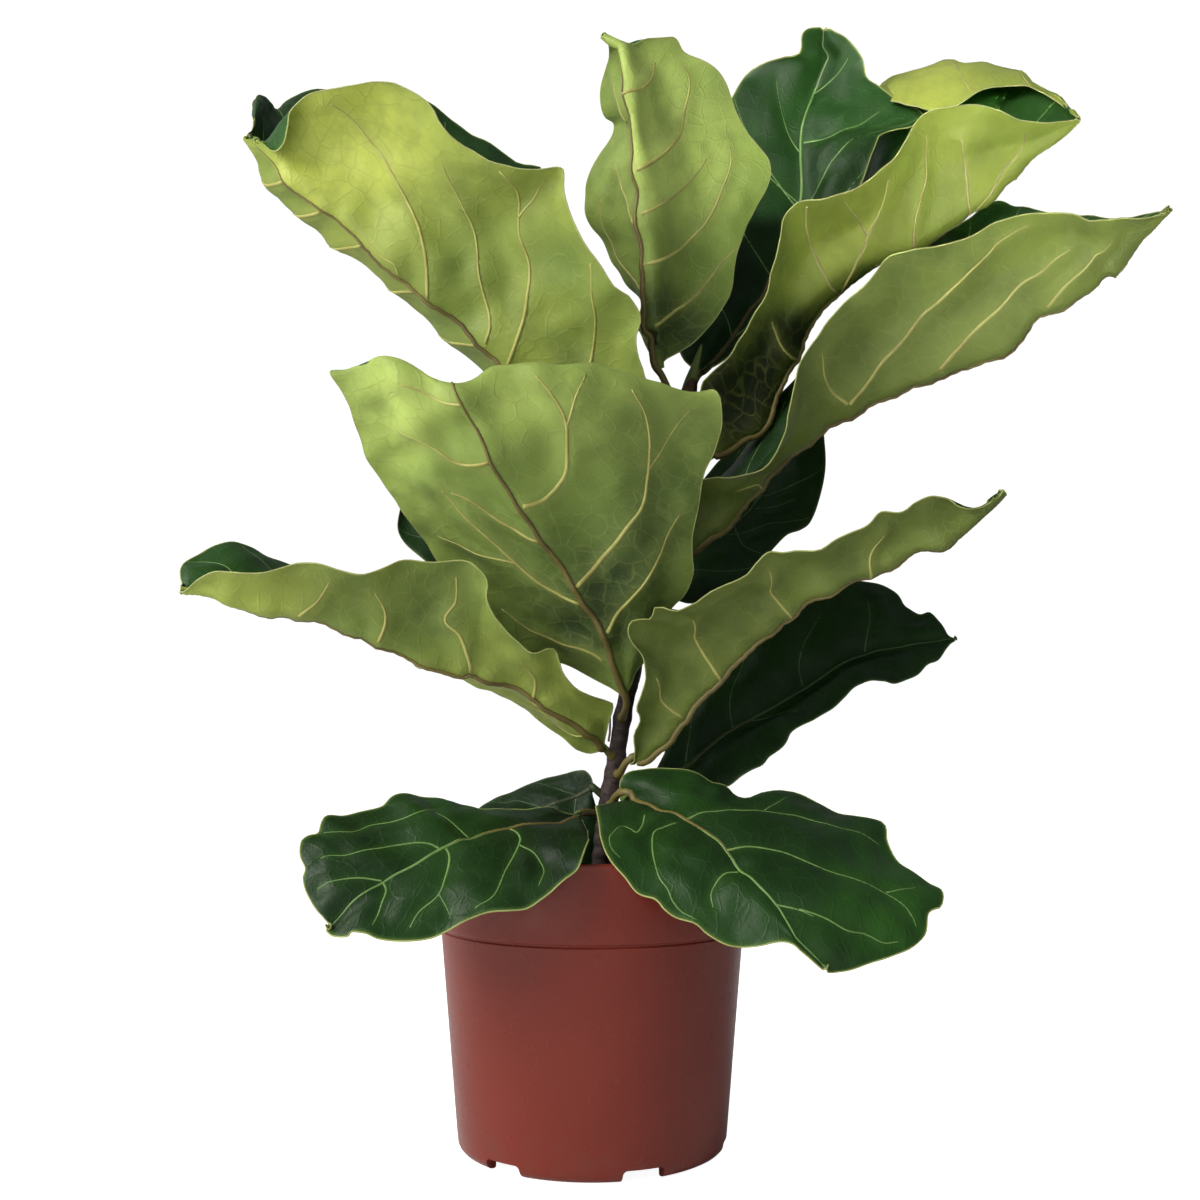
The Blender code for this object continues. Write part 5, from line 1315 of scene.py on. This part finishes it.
for f in (0.25, 0.5, 0.75):
    z = RIM_Z - 3.6 - (RIM_Z - 3.6 - STEP_Z - 1.4) * f
    add(STEP_R + 0.1 + (RIM_R - 0.65 - STEP_R) * (z - STEP_Z) / (RIM_Z - STEP_Z), z)
add(STEP_R + 0.15, STEP_Z + 1.4)
add(STEP_R + 0.02, STEP_Z + 0.8)
add(STEP_R - 0.35, STEP_Z + 0.25)
add(WALL_R - 0.75, STEP_Z - 0.15)
add(WALL_R - 0.85, STEP_Z - 0.9)
add(WALL_R - 0.1, STEP_Z - 1.7)
for f in (0.85, 0.7, 0.55, 0.4, 0.25, 0.12):
    add(FOOT_R + (WALL_R - FOOT_R) * f, STEP_Z * f)
add(FOOT_R + 0.72, 8.0)
for a in (0, 18, 36, 54, 72, 90):
    add(FOOT_R + 0.4 - 5.2 + 5.2 * cos(radians(a)), 5.2 - 5.2 * sin(radians(a)) + 0.0)
add(64.6, 0.0)
add(64.0, 0.5)
add(63.5, 6.3)
add(63.0, 6.8)
add(14.2, 6.8)
add(13.6, 6.2)
add(13.0, 0.4)
add(12.6, 0.0)
add(0.0, 0.0)
verts = [(r * MM, 0.0, z * MM) for r, z in profile]
mesh = bpy.data.meshes.new("pot_fine")
mesh.from_pydata(verts, [(i, i + 1) for i in range(len(verts) - 1)], [])
pot = bpy.data.objects.new("pot_fine", mesh)
bpy.context.scene.collection.objects.link(pot)
screw = pot.modifiers.new("turn", "SCREW")
screw.axis, screw.angle = "Z", 2 * pi
screw.steps = screw.render_steps = POT_STEPS
screw.use_merge_vertices, screw.merge_threshold = True, 0.00001
screw.use_smooth_shade = True
for m in range(6):
    bm = bmesh.new()
    bmesh.ops.create_cube(bm, size=1.0)
    bmesh.ops.scale(bm, vec=Vector((22.0, 16.0, 8.0)) * MM, verts=bm.verts[:])
    upright = [e for e in bm.edges if abs(e.verts[0].co.y - e.verts[1].co.y) > 0.01 and e.verts[0].co.z > 0]
    bmesh.ops.bevel(bm, geom=upright, offset=2.4 * MM, segments=5, affect="EDGES", profile=0.5)
    cutter_mesh = bpy.data.meshes.new(f"notch_cut_{m}")
    bm.to_mesh(cutter_mesh)
    bm.free()
    cutter = bpy.data.objects.new(f"notch_cut_{m}", cutter_mesh)
    bpy.context.scene.collection.objects.link(cutter)
    turn = radians(-90.0 + 21.0 + 60.0 * m)
    cutter.location = (cos(turn) * 69.6 * MM, sin(turn) * 69.6 * MM, 2.0 * MM)
    cutter.rotation_euler = (0.0, 0.0, turn - pi / 2)
    cutter.hide_render = True
    cutter.hide_set(True)
    mod = pot.modifiers.new(f"notch_{m}", "BOOLEAN")
    mod.operation, mod.solver, mod.object = "DIFFERENCE", "EXACT", cutter
bpy.context.view_layer.update()
graph = bpy.context.evaluated_depsgraph_get()
baked = bpy.data.meshes.new_from_object(pot.evaluated_get(graph))
pot.modifiers.clear()
pot.data = baked
for thing in [o for o in bpy.data.objects if o.name.startswith("notch_cut_")]:
    bpy.data.objects.remove(thing, do_unlink=True)
bm = bmesh.new()
bm.from_mesh(pot.data)
bmesh.ops.remove_doubles(bm, verts=bm.verts[:], dist=0.00001)
bmesh.ops.recalc_face_normals(bm, faces=bm.faces[:])
bm.to_mesh(pot.data)
bm.free()
pot.data.polygons.foreach_set("use_smooth", [True] * len(pot.data.polygons))
pot.data.set_sharp_from_angle(angle=radians(38))


def plastic_look():
    k = Nodes("moulded_terracotta_plastic")
    place = k.node("ShaderNodeTexCoord").outputs["Object"]
    broad = k.noise(place, 14.0, 3.0, 0.5)
    specks = k.noise(place, 900.0, 2.0, 0.6)
    split = k.node("ShaderNodeSeparateXYZ")
    k.link(place, split.inputs[0])
    colour = k.mix(k.ramp(broad, 0.35, 0.7), srgb(121, 44, 32), srgb(126, 47, 35))
    colour = k.mix(k.ramp(specks, 0.62, 0.8, 0.0, 0.16), colour, srgb(150, 84, 70))
    dust = k.math("MULTIPLY", k.ramp(split.outputs["Z"], 0.03, 0.0, 0.0, 0.35), k.ramp(k.noise(place, 70.0, 4.0), 0.4, 0.7))
    colour = k.mix(dust, colour, srgb(104, 70, 58))
    stretch = k.node("ShaderNodeMapping")
    k.link(place, stretch.inputs["Vector"])
    stretch.inputs["Scale"].default_value = (1.0, 1.0, 0.12)
    streak = k.noise(stretch.outputs[0], 90.0, 4.0, 0.6)
    bump = k.node("ShaderNodeBump", in_Strength=0.10, in_Distance=0.0006)
    k.link(k.math("ADD", k.math("MULTIPLY", streak, 0.6), k.math("MULTIPLY", specks, 0.5)), bump.inputs["Height"])
    shader = k.node("ShaderNodeBsdfPrincipled")
    k.link(colour, shader.inputs["Base Color"])
    k.link(k.ramp(k.noise(place, 26.0, 4.0), 0.3, 0.75, 0.24, 0.31), shader.inputs["Roughness"])
    shader.inputs["Specular IOR Level"].default_value = 0.34
    k.link(bump.outputs[0], shader.inputs["Normal"])
    end = k.node("ShaderNodeOutputMaterial")
    k.link(shader.outputs[0], end.inputs[0])
    return k.material


pot.data.materials.clear()
pot.data.materials.append(plastic_look())
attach(pot, "root")
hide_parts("pot")

# ---------------------------------------------------------------- stage, lights, camera
floor_mesh = bpy.data.meshes.new("floor")
side = 6.0
floor_mesh.from_pydata([(-side, -side, -0.0002), (side, -side, -0.0002), (side, side, -0.0002), (-side, side, -0.0002)], [], [(0, 1, 2, 3)])
floor = bpy.data.objects.new("floor", floor_mesh)
bpy.context.scene.collection.objects.link(floor)
k = Nodes("pale_floor")
place = k.node("ShaderNodeTexCoord").outputs["Object"]
shader = k.node("ShaderNodeBsdfPrincipled")
k.link(k.mix(k.noise(place, 3.0), (0.93, 0.93, 0.93), (0.95, 0.95, 0.95)), shader.inputs["Base Color"])
shader.inputs["Roughness"].default_value = 0.9
bright = k.node("ShaderNodeEmission")
bright.inputs["Color"].default_value = (1.0, 1.0, 1.0, 1.0)
bright.inputs["Strength"].default_value = FLOOR_LIFT
both = k.node("ShaderNodeAddShader")
k.link(shader.outputs[0], both.inputs[0])
k.link(bright.outputs[0], both.inputs[1])
seen_by = k.node("ShaderNodeLightPath")
pick = k.node("ShaderNodeMixShader")
k.link(seen_by.outputs["Is Camera Ray"], pick.inputs[0])
k.link(shader.outputs[0], pick.inputs[1])
k.link(both.outputs[0], pick.inputs[2])
end = k.node("ShaderNodeOutputMaterial")
k.link(pick.outputs[0], end.inputs[0])
floor_mesh.materials.append(k.material)

world = bpy.data.worlds.new("studio")
bpy.context.scene.world = world
world.use_nodes = True
tree = world.node_tree
tree.nodes.clear()
seen = tree.nodes.new("ShaderNodeBackground")
seen.inputs["Color"].default_value = (1.0, 1.0, 1.0, 1.0)
seen.inputs["Strength"].default_value = WORLD_SEEN
fill = tree.nodes.new("ShaderNodeBackground")
fill.inputs["Color"].default_value = (0.93, 0.97, 1.0, 1.0)
fill.inputs["Strength"].default_value = WORLD_FILL
ray = tree.nodes.new("ShaderNodeLightPath")
blend = tree.nodes.new("ShaderNodeMixShader")
out = tree.nodes.new("ShaderNodeOutputWorld")
tree.links.new(ray.outputs["Is Camera Ray"], blend.inputs[0])
tree.links.new(fill.outputs[0], blend.inputs[1])
tree.links.new(seen.outputs[0], blend.inputs[2])
tree.links.new(blend.outputs[0], out.inputs[0])


def lamp(name, place, aim, size, power, colour, spread=180.0):
    data = bpy.data.lights.new(name, "AREA")
    data.shape = "RECTANGLE"
    data.size, data.size_y = size
    data.energy = power
    data.spread = radians(spread)
    data.color = colour
    thing = bpy.data.objects.new(name, data)
    bpy.context.scene.collection.objects.link(thing)
    thing.location = place
    thing.rotation_euler = (Vector(aim) - Vector(place)).to_track_quat("-Z", "Y").to_euler()
    return thing


for spec in LAMPS:
    lamp(*spec)

scene = bpy.context.scene
scene.view_settings.view_transform = "Standard"
scene.view_settings.look = "None"
scene.view_settings.exposure = 0.0
scene.view_settings.gamma = 1.0
camera_data = bpy.data.cameras.new("camera")
camera_data.sensor_width = 36.0
camera_data.lens = 36.0 * SHEET_REACH / 1200.0
camera = bpy.data.objects.new("camera", camera_data)
scene.collection.objects.link(camera)
camera.location = (0.0, EYE.y * MM, EYE.z * MM)
yaw = -(600.0 - SHEET_AXIS) / SHEET_REACH
camera.rotation_euler = (pi / 2 + TILT, 0.0, yaw)
scene.camera = camera
